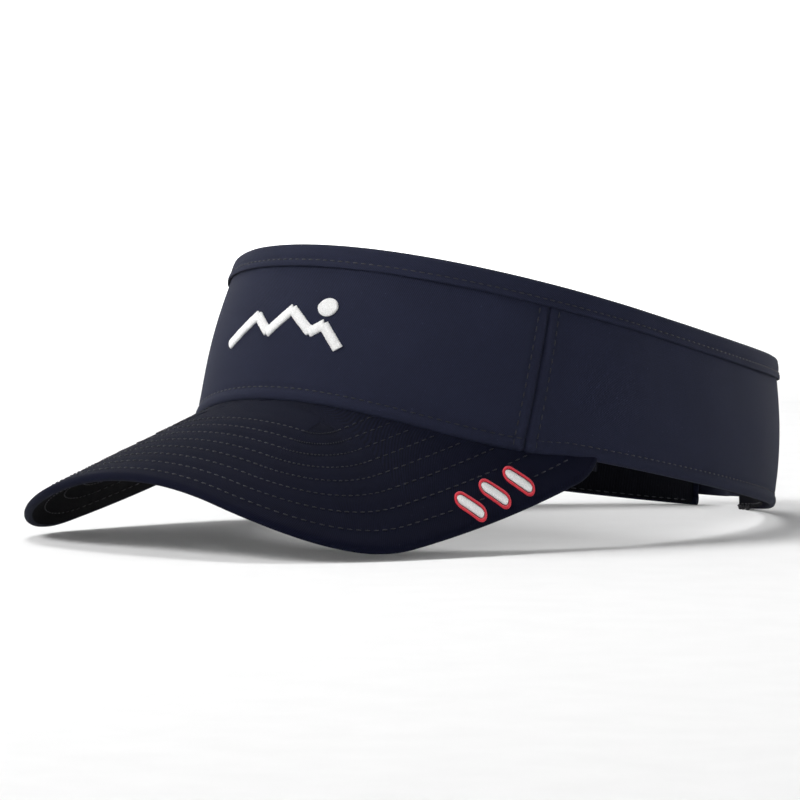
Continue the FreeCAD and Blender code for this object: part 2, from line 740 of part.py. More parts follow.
# ----------------------------------------------------------------------------------------------------
# Closure
# ----------------------------------------------------------------------------------------------------
def make_closure():
    """The strap, in a sewn root and a free tab, with hook tape under the tab and loop tape on the band."""
    low, high = dim("strap_bottom"), STRAP_TOP
    margin = dim("tape_margin")
    hinge = dim("strap_hinge_angle")
    seam = math.degrees(PLY * 1.5 / rear_radius_at(TAB_OUT, low))
    inside = rear_shell(STRAP_OUT, STRAP_IN, low, high, dim("strap_jog_angle"), dim("strap_root_angle"))
    over = rear_shell(TAB_OUT, TAB_IN, low, high, -hinge + seam, -dim("strap_jog_angle"))
    cloth("strap_root", inside.fuse(strap_jog()).fuse(over).removeSplitter())
    tab = rear_shell(TAB_OUT, TAB_IN, low, high, -dim("strap_tab_angle"), -hinge - seam)
    cloth("strap_tab", tab)
    inset = math.degrees(margin / dim("rear_radius"))
    cloth("hook_tape", rear_shell(HOOK_OUT, HOOK_IN, low + margin / 2, high - margin / 2,
                                  -dim("strap_tab_angle") + inset / 2, -loop_start()))
    cloth("loop_tape", rear_shell(LOOP_OUT, PLY, low, high, -loop_end(), -loop_start()))


def loop_start():
    """The angle at which the loop tape begins, beside the opening at the back."""
    return dim("rear_gap_angle") + math.degrees(dim("tape_margin") / 2 / dim("rear_radius"))


def loop_end():
    """The angle at which the loop tape ends: as far as the tab goes when the strap is let out."""
    return dim("strap_tab_angle") + dim("strap_travel")


# ----------------------------------------------------------------------------------------------------
# Stitching
# ----------------------------------------------------------------------------------------------------
def lower_row(shell, lift):
    """A row of thread at a height above the band's lower edge."""
    top = lift + dim("thread")
    in_front = shell.common(under_arch(top)).cut(under_arch(lift))
    behind = shell.common(below_low(top)).cut(below_low(lift))
    return in_front.Solids + behind.Solids


def make_band_stitching():
    """The rows sewn through the crown band."""
    height, thread = dim("thread_height"), dim("thread")
    skin = band_layer(height, 0)
    below_binding = skin.common(below_top(-dim("binding_height") - PLY))
    rows = []
    for side in SIDES.values():
        half = below_binding.common(half_space(Vector(0, 0, 0), Vector(side, 0, 0)))
        for shift in (-dim("topstitch_offset"), dim("topstitch_offset")):
            strip = half.common(seam_plane(side, True, shift + thread / 2))
            strip = strip.common(seam_plane(side, False, shift - thread / 2))
            rows += above_lower_edge(strip, dim("hem_stitch_height") + 2 * thread).Solids
    cloth("side_seam_stitching", Part.makeCompound(rows))
    turn = math.degrees(PLY / dim("rear_radius"))
    taped = rear_shell(LOOP_OUT + PLY, -PLY, dim("strap_bottom") - PLY, STRAP_TOP + PLY,
                       -loop_end() - turn, -loop_start() + turn)
    hem = lower_row(open_at_rear(skin, 2).cut(taped), dim("hem_stitch_height"))
    cloth("hem_stitching", Part.makeCompound(hem))

    low = dim("binding_fabric") - dim("binding_height") + 2 * thread
    row = band_layer(BINDING_OUT + height, BINDING_OUT).common(below_top(low + thread)).cut(below_top(low))
    cloth("binding_stitching", open_at_rear(row, 2))

    inner = band_layer(SWEAT_IN, SWEAT_IN - height)
    cloth("sweatband_stitching", Part.makeCompound(lower_row(open_at_rear(inner, 2), 2 * thread)))


def frame_rows(outer, low, high, start, end):
    """A rectangle of thread on a rear shell's face."""
    thread = dim("thread")
    turn = math.degrees(thread / dim("rear_radius"))
    inner = outer - dim("thread_height")
    bars = [
        rear_shell(outer, inner, low, low + thread, start, end),
        rear_shell(outer, inner, high - thread, high, start, end),
        rear_shell(outer, inner, low + thread, high - thread, start, start + turn),
        rear_shell(outer, inner, low + thread, high - thread, end - turn, end),
    ]
    return bars[0].multiFuse(bars[1:]).removeSplitter()


def make_closure_stitching():
    """The frames of thread round the tab's hook tape and round the loop tape."""
    low, high = dim("strap_bottom"), STRAP_TOP
    edge = dim("tape_margin")
    turn = math.degrees(edge / dim("rear_radius"))
    out = TAB_OUT + dim("thread_height")
    frame = frame_rows(out, low + edge, high - edge, -dim("strap_tab_angle") + turn, -loop_start() - turn / 2)
    cloth("strap_stitching", frame)
    out = LOOP_OUT + dim("thread_height")
    frame = frame_rows(out, low + edge / 2, high - edge / 2, -loop_end() + turn / 2, -loop_start() - turn / 2)
    cloth("loop_tape_stitching", frame)


# ----------------------------------------------------------------------------------------------------
# Stance
# ----------------------------------------------------------------------------------------------------
def points_of(names):
    """Points over the surfaces of some sub-parts, fine enough to find what they stand on."""
    points = []
    for name in names:
        points += subparts[name].Shape.tessellate(0.05)[0]
    return points


def lowest(points, angle):
    """The lowest height of some points once the band is leant back by an angle in radians."""
    return min(point.z * math.cos(angle) - point.y * math.sin(angle) for point in points)


def stance():
    """Leans the visor back until its brim and its rear edge touch the ground together."""
    front = points_of(["brim_top_cover", "brim_bottom_cover"])
    rear = points_of(["left_side_panel", "right_side_panel"])
    shallow, steep = 0.0, math.radians(30)
    for _ in range(40):
        angle = (shallow + steep) / 2
        if lowest(front, angle) < lowest(rear, angle):
            shallow = angle
        else:
            steep = angle
    turn = Rotation(Vector(1, 0, 0), -math.degrees(angle))
    spans = [turn.multVec(point).y for point in points_of(subparts)]
    middle = (min(spans) + max(spans)) / 2
    return Placement(Vector(0, -middle, -min(lowest(front, angle), lowest(rear, angle))), turn)


def report_stance(place):
    """Prints the stance and the closure's joint axes in the finished visor's frame."""
    upward = place.Rotation.multVec(Vector(0, 0, 1))
    pivot = place.multVec(REAR_AXIS)
    print(f"stance angle {math.degrees(place.Rotation.Angle):.4f} base {tuple(place.Base)}")
    print(f"strap_adjust pos {tuple(pivot)} axis {tuple(upward)}")
    angle = math.radians(-dim("strap_hinge_angle"))
    line = []
    for height in (dim("strap_bottom"), STRAP_TOP):
        radius = rear_radius_at(TAB_OUT, height)
        reach = Vector(radius * math.sin(angle), radius * math.cos(angle), height)
        line.append(place.multVec(REAR_AXIS + reach))
    axis = (line[1] - line[0]).normalize()
    print(f"strap_peel pos {tuple((line[0] + line[1]) * 0.5)} axis {tuple(axis)}")


# ----------------------------------------------------------------------------------------------------
# The whole visor
# ----------------------------------------------------------------------------------------------------
def check(items):
    """Stops if an object failed to recompute or a sub-part has no sound solid."""
    for item in doc.Objects:
        if {"Invalid", "Error"} & set(item.State):
            raise RuntimeError(f"{item.Label} did not recompute: {item.State}")
    for name, item in items.items():
        shape = item.Shape
        if shape.isNull() or not shape.isValid() or not shape.Solids or shape.Volume <= 0:
            raise RuntimeError(f"{name} has no valid solid")


def main():
    """Builds every sub-part, stands the visor up and writes the parts."""
    make_panels()
    make_stiffener()
    make_seam_tapes()
    make_binding()
    make_sweatband()
    make_labels()
    make_front_mark()
    room = make_brim()
    doc.recompute()
    make_brim_stitching(room)
    make_brim_mark()
    make_closure()
    make_closure_stitching()
    make_band_stitching()
    doc.recompute()
    check(subparts)
    place = stance()
    for item in subparts.values():
        item.Placement = place.multiply(item.Placement)
    doc.recompute()
    check(subparts)
    os.makedirs("parts", exist_ok=True)
    for name, item in subparts.items():
        item.Shape.exportStep(os.path.join("parts", f"{name}.step"))
    report_stance(place)


main()
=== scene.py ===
"""The looks of a cloth sun visor: a stiffened crown band, a curved stitched brim and a hook-and-loop strap.

Every shape is worked out in the band's own frame, in millimetres, with the wearer facing -Y and the band
upright. The stance then leans it back and puts it, in metres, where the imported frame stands.
"""
import json
import logging
import math
import random
from collections.abc import Callable
from collections.abc import Iterable
from dataclasses import dataclass
from dataclasses import field
from enum import Enum

import bmesh
import bpy
import numpy as np
from mathutils import Matrix
from mathutils import Vector


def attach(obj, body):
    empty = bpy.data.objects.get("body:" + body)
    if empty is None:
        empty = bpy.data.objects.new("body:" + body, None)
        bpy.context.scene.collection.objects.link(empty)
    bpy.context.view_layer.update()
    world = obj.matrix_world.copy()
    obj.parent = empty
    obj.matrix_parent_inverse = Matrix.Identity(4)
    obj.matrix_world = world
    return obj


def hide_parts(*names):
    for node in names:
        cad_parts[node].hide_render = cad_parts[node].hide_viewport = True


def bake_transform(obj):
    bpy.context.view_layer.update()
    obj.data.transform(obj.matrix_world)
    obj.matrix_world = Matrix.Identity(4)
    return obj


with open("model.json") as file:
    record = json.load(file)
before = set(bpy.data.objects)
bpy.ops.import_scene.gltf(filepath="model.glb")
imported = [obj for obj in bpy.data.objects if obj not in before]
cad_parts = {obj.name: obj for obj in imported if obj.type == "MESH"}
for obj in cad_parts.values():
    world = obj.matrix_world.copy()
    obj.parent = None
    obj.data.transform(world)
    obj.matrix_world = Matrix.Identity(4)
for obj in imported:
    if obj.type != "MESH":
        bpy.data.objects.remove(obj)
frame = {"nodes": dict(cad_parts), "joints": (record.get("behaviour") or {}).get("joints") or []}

LOG = logging.getLogger("sun_visor")
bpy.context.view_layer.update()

Grid = np.ndarray
Place = Callable[[Grid, Grid, Grid], Grid]
Level = Callable[[Grid], Grid]
QUARTER = math.pi / 2
SEED = 11


# ----------------------------------------------------------------------------------------------------
# Small formulas
# ----------------------------------------------------------------------------------------------------
def stack(x: Grid, y: Grid, z: Grid) -> Grid:
    """Joins three arrays of coordinates into rows of points."""
    return np.stack(np.broadcast_arrays(x, y, z), axis=-1)


def smooth(value: Grid, low: float, high: float) -> Grid:
    """A soft step from 0 at low to 1 at high."""
    share = np.clip((value - low) / (high - low), 0.0, 1.0)
    return share * share * (3 - 2 * share)


def hump(distance: Grid, reach: float) -> Grid:
    """1 at no distance, falling softly to nothing over a reach."""
    return np.exp(-((distance / reach) ** 2))


def ripple(along: Grid, across: Grid, phase: float) -> Grid:
    """Slow uneven waves of hand-sewn cloth, from -1 to 1, over a surface measured in millimetres."""
    waves = [(0.071, 0.023, 1.0), (0.043, -0.091, 0.8), (0.157, 0.061, 0.45), (-0.119, 0.171, 0.4)]
    total = sum(size * np.sin(kx * along + ky * across + phase * (index + 1.7))
                for index, (kx, ky, size) in enumerate(waves))
    return total / sum(size for _, _, size in waves)


def unit(vectors: Grid) -> Grid:
    """Rows of vectors made one long."""
    return vectors / np.maximum(np.linalg.norm(vectors, axis=-1, keepdims=True), 1e-9)


# ----------------------------------------------------------------------------------------------------
# The band, the brim and how they stand
# ----------------------------------------------------------------------------------------------------
@dataclass(frozen=True)
class BrimShape:
    """The brim: an outline of arcs in plan, bent over a cylinder whose axis falls to the front."""

    tip_y: float = -157.0
    temple_y: float = -51.0
    root_y: float = -103.0
    half_width: float = 79.0
    front_radius: float = 190.0
    corner_radius: float = 50.0
    side_radius: float = 450.0
    end_radius: float = 20.0
    end_turn: float = 0.75
    arch_radius: float = 107.5
    slope: float = math.radians(26.0)
    root_height: float = 8.0
    thickness: float = 2.7
    cover: float = 0.6

    def arcs(self) -> list[tuple[Grid, float, float, float]]:
        """The arcs of the wearer's left half, from the tip.

        Returns:
            Each arc's centre, radius, and first and last direction, measured from straight ahead.
        """
        front = np.array([0.0, self.tip_y + self.front_radius])
        side = np.array([self.half_width - self.side_radius, self.temple_y])
        to_front = self.front_radius - self.corner_radius
        to_side = self.side_radius - self.corner_radius
        gap = side - front
        apart = float(np.hypot(*gap))
        along = (to_front**2 - to_side**2 + apart**2) / (2 * apart)
        away = math.sqrt(to_front**2 - along**2)
        way = gap / apart
        left = np.array([-way[1], way[0]])
        choices = [front + way * along + left * sign * away for sign in (1, -1)]
        corner = max(choices, key=lambda point: point[0] - point[1])
        first = math.atan2(*(corner - front) * [1, -1])
        second = math.atan2(*(corner - side) * [1, -1])
        end = np.array([self.half_width - self.end_radius, self.temple_y])
        return [(front, self.front_radius, 0.0, first), (corner, self.corner_radius, first, second),
                (side, self.side_radius, second, QUARTER),
                (end, self.end_radius, QUARTER, QUARTER + self.end_turn)]

    def half_length(self, rows_only: bool = False) -> float:
        """The length of half the outline, with or without the arc that turns in under the band."""
        arcs = self.arcs()[:3] if rows_only else self.arcs()
        return sum(radius * (last - first) for _, radius, first, last in arcs)

    def outline(self, along: Grid) -> tuple[Grid, Grid]:
        """Points of the outline.

        Args:
            along: distances from the tip, positive to the wearer's left.

        Returns:
            The points in plan, and the directions outwards there.
        """
        left = np.abs(along)
        points = np.zeros(left.shape + (2,))
        outward = np.zeros_like(points)
        start = 0.0
        for centre, radius, first, last in self.arcs():
            length = radius * (last - first)
            on_arc = left >= start - 1e-9
            angle = first + np.clip(left - start, 0, length) / radius
            way = np.stack([np.sin(angle), -np.cos(angle)], axis=-1)
            points[on_arc] = (centre + radius * way)[on_arc]
            outward[on_arc] = way[on_arc]
            start += length
        side = np.where(along < 0, -1.0, 1.0)
        points[..., 0] *= side
        outward[..., 0] *= side
        return points, outward

    def height(self, x: Grid, y: Grid) -> Grid:
        """The height of the brim's upper face over its plan."""
        fall = self.arch_radius - np.sqrt(np.maximum(self.arch_radius**2 - x**2, 1.0))
        return self.root_height + (y - self.root_y) * math.tan(self.slope) - fall / math.cos(self.slope)

    def upward(self, x: Grid) -> Grid:
        """The direction square to the brim's upper face."""
        sine = np.clip(x / self.arch_radius, -1, 1)
        cosine = np.sqrt(1 - sine**2)
        return stack(sine, -math.sin(self.slope) * cosine, math.cos(self.slope) * cosine)

    def surface(self, plan: Grid, lift: Grid) -> Grid:
        """Points at a lift above the upper face, over points of its plan."""
        x, y = plan[..., 0], plan[..., 1]
        return stack(x, y, self.height(x, y)) + self.upward(x) * np.asarray(lift)[..., None]


@dataclass(frozen=True)
class BandShape:
    """The band: half an ellipse ahead of its widest line, flat side arcs and a round back."""

    half_width: float = 79.0
    front_half: float = 80.0
    rear_half: float = 126.0
    rear_radius: float = 42.0
    widest_y: float = -23.0
    front_lean: float = math.tan(math.radians(12.6))
    side_lean: float = math.tan(math.radians(4.9))
    rear_lean: float = math.tan(math.radians(5.8))
    top_heights: tuple[float, float, float] = (58.6, 43.4, 43.1)
    side_low: float = -2.9
    rear_low: float = -4.2
    seam_angle: float = math.radians(59.8)
    gap_angle: float = math.radians(15.0)
    bulge: float = 1.5
    brim: BrimShape = field(default_factory=BrimShape)

    @property
    def rear_y(self) -> float:
        """Where the axis of the round back crosses the plan."""
        return self.widest_y + self.rear_half - self.rear_radius

    def _front_table(self) -> tuple[Grid, Grid]:
        """The lengths run round the front quarter.

        Returns:
            Directions over the quarter, and the lengths run from the middle of the front.
        """
        angle = np.linspace(0, QUARTER, 400)
        reach = np.hypot(self.half_width * np.sin(angle), self.front_half * np.cos(angle))
        x = self.half_width**2 * np.sin(angle) / reach
        y = self.front_half**2 * np.cos(angle) / reach
        steps = np.hypot(np.diff(x), np.diff(y))
        return angle, np.concatenate([[0], np.cumsum(steps)])

    def _side(self, half_width: Grid, radius: Grid) -> tuple[Grid, Grid, Grid]:
        """The side arc's centre, radius and turn, which lead smoothly into the round back."""
        reach = self.rear_half - self.rear_radius
        spare = half_width - radius
        centre = (reach**2 - spare**2) / (2 * spare)
        return centre, half_width + centre, np.arctan2(reach, centre)

    def lengths(self) -> tuple[float, float, float]:
        """The lengths of the front quarter, the side arc and half the round back."""
        _, side_radius, turn = self._side(np.array(self.half_width), np.array(self.rear_radius))
        return (float(self._front_table()[1][-1]), float(side_radius * turn),
                float(self.rear_radius * (QUARTER - turn)))

    def seam_along(self) -> float:
        """How far round from the front the side seams are."""
        angle, run = self._front_table()
        return float(np.interp(self.seam_angle, angle, run))

    def end_along(self, angle: float | None = None) -> float:
        """How far round the band an angle from the back is: the opening's edge, if no other is given."""
        return sum(self.lengths()) - self.rear_radius * (self.gap_angle if angle is None else angle)

    def point(self, along: Grid, height: Grid, offset: Grid) -> Grid:
        """Points of the band.

        Args:
            along: distances round the band from the front, positive to the wearer's left.
            height: heights in the band's frame.
            offset: distances outwards from the outer face.

        Returns:
            The points, in millimetres.
        """
        along, height, offset = np.broadcast_arrays(along, height, offset)
        first, second, third = self.lengths()
        left = np.abs(along)
        half_width = self.half_width + offset - self.side_lean * height
        front = self.front_half + offset - self.front_lean * height
        radius = self.rear_radius + offset - self.rear_lean * height
        angle, run = self._front_table()
        turn = np.interp(left, run, angle)
        reach = np.hypot(half_width * np.sin(turn), front * np.cos(turn))
        x_front = half_width**2 * np.sin(turn) / reach
        y_front = self.widest_y - front**2 * np.cos(turn) / reach
        centre, side_radius, junction = self._side(half_width, radius)
        turn = (left - first) / second * junction
        x_side = side_radius * np.cos(turn) - centre
        y_side = self.widest_y + side_radius * np.sin(turn)
        turn = junction + (QUARTER - junction) * (left - first - second) / third
        x_rear = radius * np.cos(turn)
        y_rear = self.rear_y + radius * np.sin(turn)
        x = np.where(left < first, x_front, np.where(left < first + second, x_side, x_rear))
        y = np.where(left < first, y_front, np.where(left < first + second, y_side, y_rear))
        return stack(np.where(along < 0, -x, x), y, height)

    def rear(self, angle: Grid, height: Grid, offset: Grid) -> Grid:
        """Points of the round back, at angles from its middle towards the wearer's left."""
        radius = self.rear_radius + offset - self.rear_lean * height
        return stack(radius * np.sin(angle), self.rear_y + radius * np.cos(angle), height)

    def through_three(self, values: tuple[float, float, float], y: Grid, first_y: float) -> Grid:
        """An edge line with given heights at its front, middle and rear."""
        front, middle, rear = values
        share = (y - first_y) / (self.widest_y + self.rear_half - first_y)
        sag = middle - (front + rear) / 2
        return front + (rear - front) * share + 4 * sag * share * (1 - share)

    def line(self, heights: tuple[float, float, float], along: Grid) -> Grid:
        """The height of an edge line, round the band.

        Args:
            heights: its heights at the front, middle and rear.
            along: distances round the band from the front.

        Returns:
            The line's heights.
        """
        height = np.full(np.shape(along), heights[1])
        for _ in range(6):
            y = self.point(along, height, 0.0)[..., 1]
            height = self.through_three(heights, y, self.widest_y - self.front_half)
        return height

    def top(self, along: Grid) -> Grid:
        """The height of the band's top edge."""
        return self.line(self.top_heights, along)

    def low(self, along: Grid) -> Grid:
        """The height of the band's lower edge, on the brim and then along the side panels.

        Args:
            along: distances round the band from the front.

        Returns:
            The edge's heights.
        """
        forward = (self.brim.temple_y - self.widest_y) / self.front_half
        temple_x = self.half_width * math.sqrt(1 - forward**2)
        temple = float(self.brim.height(np.array(temple_x), np.array(self.brim.temple_y)))
        heights = (temple, self.side_low, self.rear_low)
        height = np.zeros(np.shape(along))
        for _ in range(12):
            place = self.point(along, height, 0.0)
            on_brim = self.brim.height(place[..., 0], place[..., 1])
            behind = self.through_three(heights, place[..., 1], self.brim.temple_y)
            wanted = np.where(place[..., 1] < self.brim.temple_y, on_brim, behind)
            height = height * 0.4 + wanted * 0.6
        return height

    def swell(self, along: Grid, share: Grid) -> Grid:
        """How far the crown's cloth stands out from its straight taper, at a share of its height."""
        back = sum(self.lengths()) - np.abs(along)
        fades = np.where(along > 0, smooth(back, 14, 34), smooth(back, 33, 52))
        return self.bulge * np.sin(math.pi * np.clip(share, 0, 1) ** 1.15) * fades

    def inside(self, points: Grid, margin: float) -> Grid:
        """Which points of the brim lie under the band's front."""
        half_width = self.half_width + margin - self.side_lean * points[..., 2]
        front = self.front_half + margin - self.front_lean * points[..., 2]
        return (points[..., 0] / half_width) ** 2 + ((points[..., 1] - self.widest_y) / front) ** 2 < 1


@dataclass(frozen=True)
class Stance:
    """How the band's frame stands in the shared frame, read from the strap's hinge on the rear axis."""

    pivot: Vector
    upward: Vector
    rear_y: float

    @classmethod
    def from_frame(cls, rear_y: float) -> "Stance":
        """Reads the lean and the place from the joint that turns the strap round the band's back."""
        joint = next(joint for joint in frame["joints"] if joint["name"] == "strap_adjust")
        return cls(Vector(joint["pos_m"]), Vector(joint["axis"]).normalized(), rear_y)

    @property
    def matrix(self) -> Matrix:
        """Takes millimetres in the band's frame to metres in the shared frame."""
        back = Vector((0, self.upward.z, -self.upward.y))
        turn = Matrix((Vector((1, 0, 0)), back, self.upward)).transposed().to_4x4()
        return (Matrix.Translation(self.pivot) @ turn @ Matrix.Scale(0.001, 4)
                @ Matrix.Translation((0, -self.rear_y, 0)))

    def place(self, point: Iterable[float]) -> Vector:
        """One point of the band's frame, in the shared frame."""
        return self.matrix @ Vector(point)


# ----------------------------------------------------------------------------------------------------
# Materials
# ----------------------------------------------------------------------------------------------------
class Wire:
    """A number socket of a node graph, with the arithmetic of the shader written as expressions."""

    def __init__(self, graph: "Graph", socket: bpy.types.NodeSocket) -> None:
        """Holds an output socket of a graph."""
        self.graph = graph
        self.socket = socket

    def _math(self, operation: str, *values: "Wire | float") -> "Wire":
        """Adds one Math node."""
        links = {index: value for index, value in enumerate(values)}
        return self.graph.wire("ShaderNodeMath", {"operation": operation}, links)

    def __add__(self, other: "Wire | float") -> "Wire":
        """Sum."""
        return self._math("ADD", self, other)

    def __radd__(self, other: float) -> "Wire":
        """Sum, from the right."""
        return self._math("ADD", other, self)

    def __sub__(self, other: "Wire | float") -> "Wire":
        """Difference."""
        return self._math("SUBTRACT", self, other)

    def __rsub__(self, other: float) -> "Wire":
        """Difference, from the right."""
        return self._math("SUBTRACT", other, self)

    def __mul__(self, other: "Wire | float") -> "Wire":
        """Product."""
        return self._math("MULTIPLY", self, other)

    def __rmul__(self, other: float) -> "Wire":
        """Product, from the right."""
        return self._math("MULTIPLY", other, self)

    def sine(self) -> "Wire":
        """Sine of the value."""
        return self._math("SINE", self)

    def step(self, low: float, high: float) -> "Wire":
        """A ramp from 0 at low to 1 at high."""
        links = {"Value": self, "From Min": low, "From Max": high}
        return self.graph.wire("ShaderNodeMapRange", {"clamp": True}, links)


class Graph:
    """The node tree of one material."""

    def __init__(self, name: str) -> None:
        """Starts an empty material."""
        self.material = bpy.data.materials.new(name)
        self.material.use_nodes = True
        self.tree = self.material.node_tree
        self.tree.nodes.clear()

    def node(self, kind: str, settings: dict[str, object],
             sockets: dict[str | int, object]) -> bpy.types.Node:
        """Adds a node.

        Args:
            kind: the node's type.
            settings: its properties, set before its sockets.
            sockets: values or links of its inputs, by name or number.

        Returns:
            The node.
        """
        made = self.tree.nodes.new(kind)
        for key, value in settings.items():
            setattr(made, key, value)
        for key, value in sockets.items():
            target = made.inputs[key]
            if isinstance(value, Wire):
                self.tree.links.new(value.socket, target)
            elif isinstance(value, bpy.types.NodeSocket):
                self.tree.links.new(value, target)
            else:
                target.default_value = value
        return made

    def wire(self, kind: str, settings: dict[str, object], sockets: dict[str | int, object]) -> Wire:
        """Adds a node and gives its first output that is in use."""
        made = self.node(kind, settings, sockets)
        return Wire(self, next(output for output in made.outputs if output.enabled))

    def noise(self, where: bpy.types.NodeSocket, scale: float, detail: float = 2.0) -> Wire:
        """Uneven noise from 0 to 1, at a scale per unit of its coordinates."""
        made = self.node("ShaderNodeTexNoise", {}, {"Vector": where, "Scale": scale, "Detail": detail})
        return Wire(self, made.outputs["Fac"])

    def mix(self, share: Wire, first: "Colour | bpy.types.NodeSocket",
            second: "Colour") -> bpy.types.NodeSocket:
        """Mixes two colours."""
        made = self.node("ShaderNodeMix", {"data_type": "RGBA"}, {0: share, 6: first, 7: second})
        return made.outputs[2]

    def finish(self, colour: object, roughness: object, height: Wire, depth: float,
               constants: dict[str, object]) -> bpy.types.Material:
        """Ends the graph in one shader.

        Args:
            colour: the base colour's link.
            roughness: a number or a link.
            height: the relief, from 0 to 1.
            depth: how deep the relief is, in metres.
            constants: other sockets of the shader that are the same all over.

        Returns:
            The material.
        """
        bump = self.node("ShaderNodeBump", {}, {"Height": height, "Distance": depth, "Strength": 1.0})
        sockets = {"Base Color": colour, "Roughness": roughness, "Normal": bump.outputs["Normal"]}
        shader = self.node("ShaderNodeBsdfPrincipled", {}, {**sockets, **constants})
        self.node("ShaderNodeOutputMaterial", {}, {"Surface": shader.outputs["BSDF"]})
        return self.material


Colour = tuple[float, float, float, float]


def tint(red: int, green: int, blue: int) -> Colour:
    """A linear colour from the eight-bit values of a swatch.

    Args:
        red: its red, from 0 to 255.
        green: its green.
        blue: its blue.

    Returns:
        The colour, with full alpha.
    """
    def linear(value: int) -> float:
        """One channel without its gamma."""
        share = value / 255
        return share / 12.92 if share <= 0.04045 else ((share + 0.055) / 1.055) ** 2.4
    return linear(red), linear(green), linear(blue), 1.0


@dataclass(frozen=True)
class Woven:
    """Cloth with yarns at a real pitch, measured in millimetres on the piece's own map."""

    slot: str
    colour: Colour
    pitch: float = 0.62
    diagonal: float = 1.0
    relief: float = 0.00006
    contrast: float = 1.5
    lint: float = 0.35
    roughness: float = 0.86
    sheen: float = 0.03
    sheen_tint: Colour = (0.55, 0.6, 0.75, 1.0)
    gloss: float = 0.12

    def material(self) -> bpy.types.Material:
        """Ribs across the weave, mottled dye and a few specks of lint.

        Returns:
            The cloth's material.
        """
        graph = Graph(self.slot)
        cloth = graph.node("ShaderNodeUVMap", {"uv_map": CLOTH_MAP}, {}).outputs["UV"]
        parts = graph.node("ShaderNodeSeparateXYZ", {}, {"Vector": cloth})
        along, across = Wire(graph, parts.outputs[0]), Wire(graph, parts.outputs[1])
        wander = graph.noise(cloth, 0.9)
        turn = 2 * math.pi / self.pitch
        ribs = ((along + across * self.diagonal + wander * 0.18) * turn).sine() * 0.5 + 0.5
        yarns = ((along - across * 0.35) * (turn * 1.9)).sine() * 0.5 + 0.5
        fibres = graph.noise(cloth, 1.9, 4.0)
        weave = ribs * 0.55 + yarns * 0.2 + fibres * 0.5
        shade = (weave - 0.62) * self.contrast + (graph.noise(cloth, 0.06) - 0.5) * 0.22
        dark = tuple(channel * 0.4 for channel in self.colour[:3]) + (1.0,)
        light = tuple(channel * 1.6 for channel in self.colour[:3]) + (1.0,)
        dyed = graph.mix((shade + 0.5).step(0.0, 1.0), dark, light)
        specks = graph.noise(cloth, 1.25, 1.0).step(0.735, 0.80) * self.lint
        pale = tuple(min(channel * 3.2 + 0.03, 1.0) for channel in self.colour[:3]) + (1.0,)
        dyed = graph.mix(specks, dyed, pale)
        roughness = self.roughness + (fibres - 0.5) * 0.12
        constants = {"Sheen Weight": self.sheen, "Sheen Roughness": 0.45, "Sheen Tint": self.sheen_tint,
                     "Specular IOR Level": self.gloss}
        return graph.finish(dyed, roughness, weave, self.relief, constants)


@dataclass(frozen=True)
class Spun:
    """Thread, whose fine twist shows as streaks on its own solid."""

    slot: str
    colour: Colour
    sheen: float = 0.25
    roughness: float = 0.55

    def material(self) -> bpy.types.Material:
        """Fine streaks of twist, with a soft gloss.

        Returns:
            The thread's material.
        """
        graph = Graph(self.slot)
        place = graph.node("ShaderNodeTexCoord", {}, {}).outputs["Object"]
        streaks = graph.noise(place, 4200.0, 2.0)
        dark = tuple(channel * 0.7 for channel in self.colour[:3]) + (1.0,)
        light = tuple(min(channel * 1.2, 1.0) for channel in self.colour[:3]) + (1.0,)
        colour = graph.mix(streaks.step(0.3, 0.7), dark, light)
        roughness = self.roughness + (graph.noise(place, 900.0) - 0.5) * 0.2
        constants = {"Sheen Weight": self.sheen, "Specular IOR Level": 0.4}
        return graph.finish(colour, roughness, streaks, 0.00004, constants)


@dataclass(frozen=True)
class Fuzzy:
    """A matted surface: foam cells, pulp board, or the pile of hook and loop tape."""

    slot: str
    colour: Colour
    grain: float = 1400.0
    relief: float = 0.00025
    roughness: float = 0.9
    sheen: float = 0.2

    def material(self) -> bpy.types.Material:
        """Round cells of the grain, uneven in shade.

        Returns:
            The pile's material.
        """
        graph = Graph(self.slot)
        place = graph.node("ShaderNodeTexCoord", {}, {}).outputs["Object"]
        cells = graph.wire("ShaderNodeTexVoronoi", {}, {"Vector": place, "Scale": self.grain})
        tangle = graph.noise(place, self.grain * 0.6, 3.0)
        height = cells * 0.6 + tangle * 0.5
        dark = tuple(channel * 0.5 for channel in self.colour[:3]) + (1.0,)
        light = tuple(min(channel * 1.4, 1.0) for channel in self.colour[:3]) + (1.0,)
        colour = graph.mix(height.step(0.15, 0.95), dark, light)
        roughness = self.roughness - tangle * 0.08
        return graph.finish(colour, roughness, height, self.relief, {"Sheen Weight": self.sheen})


CLOTH_MAP = "Cloth"
NAVY_FACE = tint(25, 28, 45)
# The brim's upper cover is the crown's navy twill painted darker: painted shade for the light that only
# grazes the brim.
NAVY_BRIM_PAINTED_SHADE = tint(7, 9, 25)
# The brim's underside is the same navy twill painted near black: painted shadow for the shade under the
# brim.
NAVY_UNDER_PAINTED_SHADOW = tint(5, 5, 9)
WHITE = tint(240, 240, 238)
RED = tint(205, 28, 52)


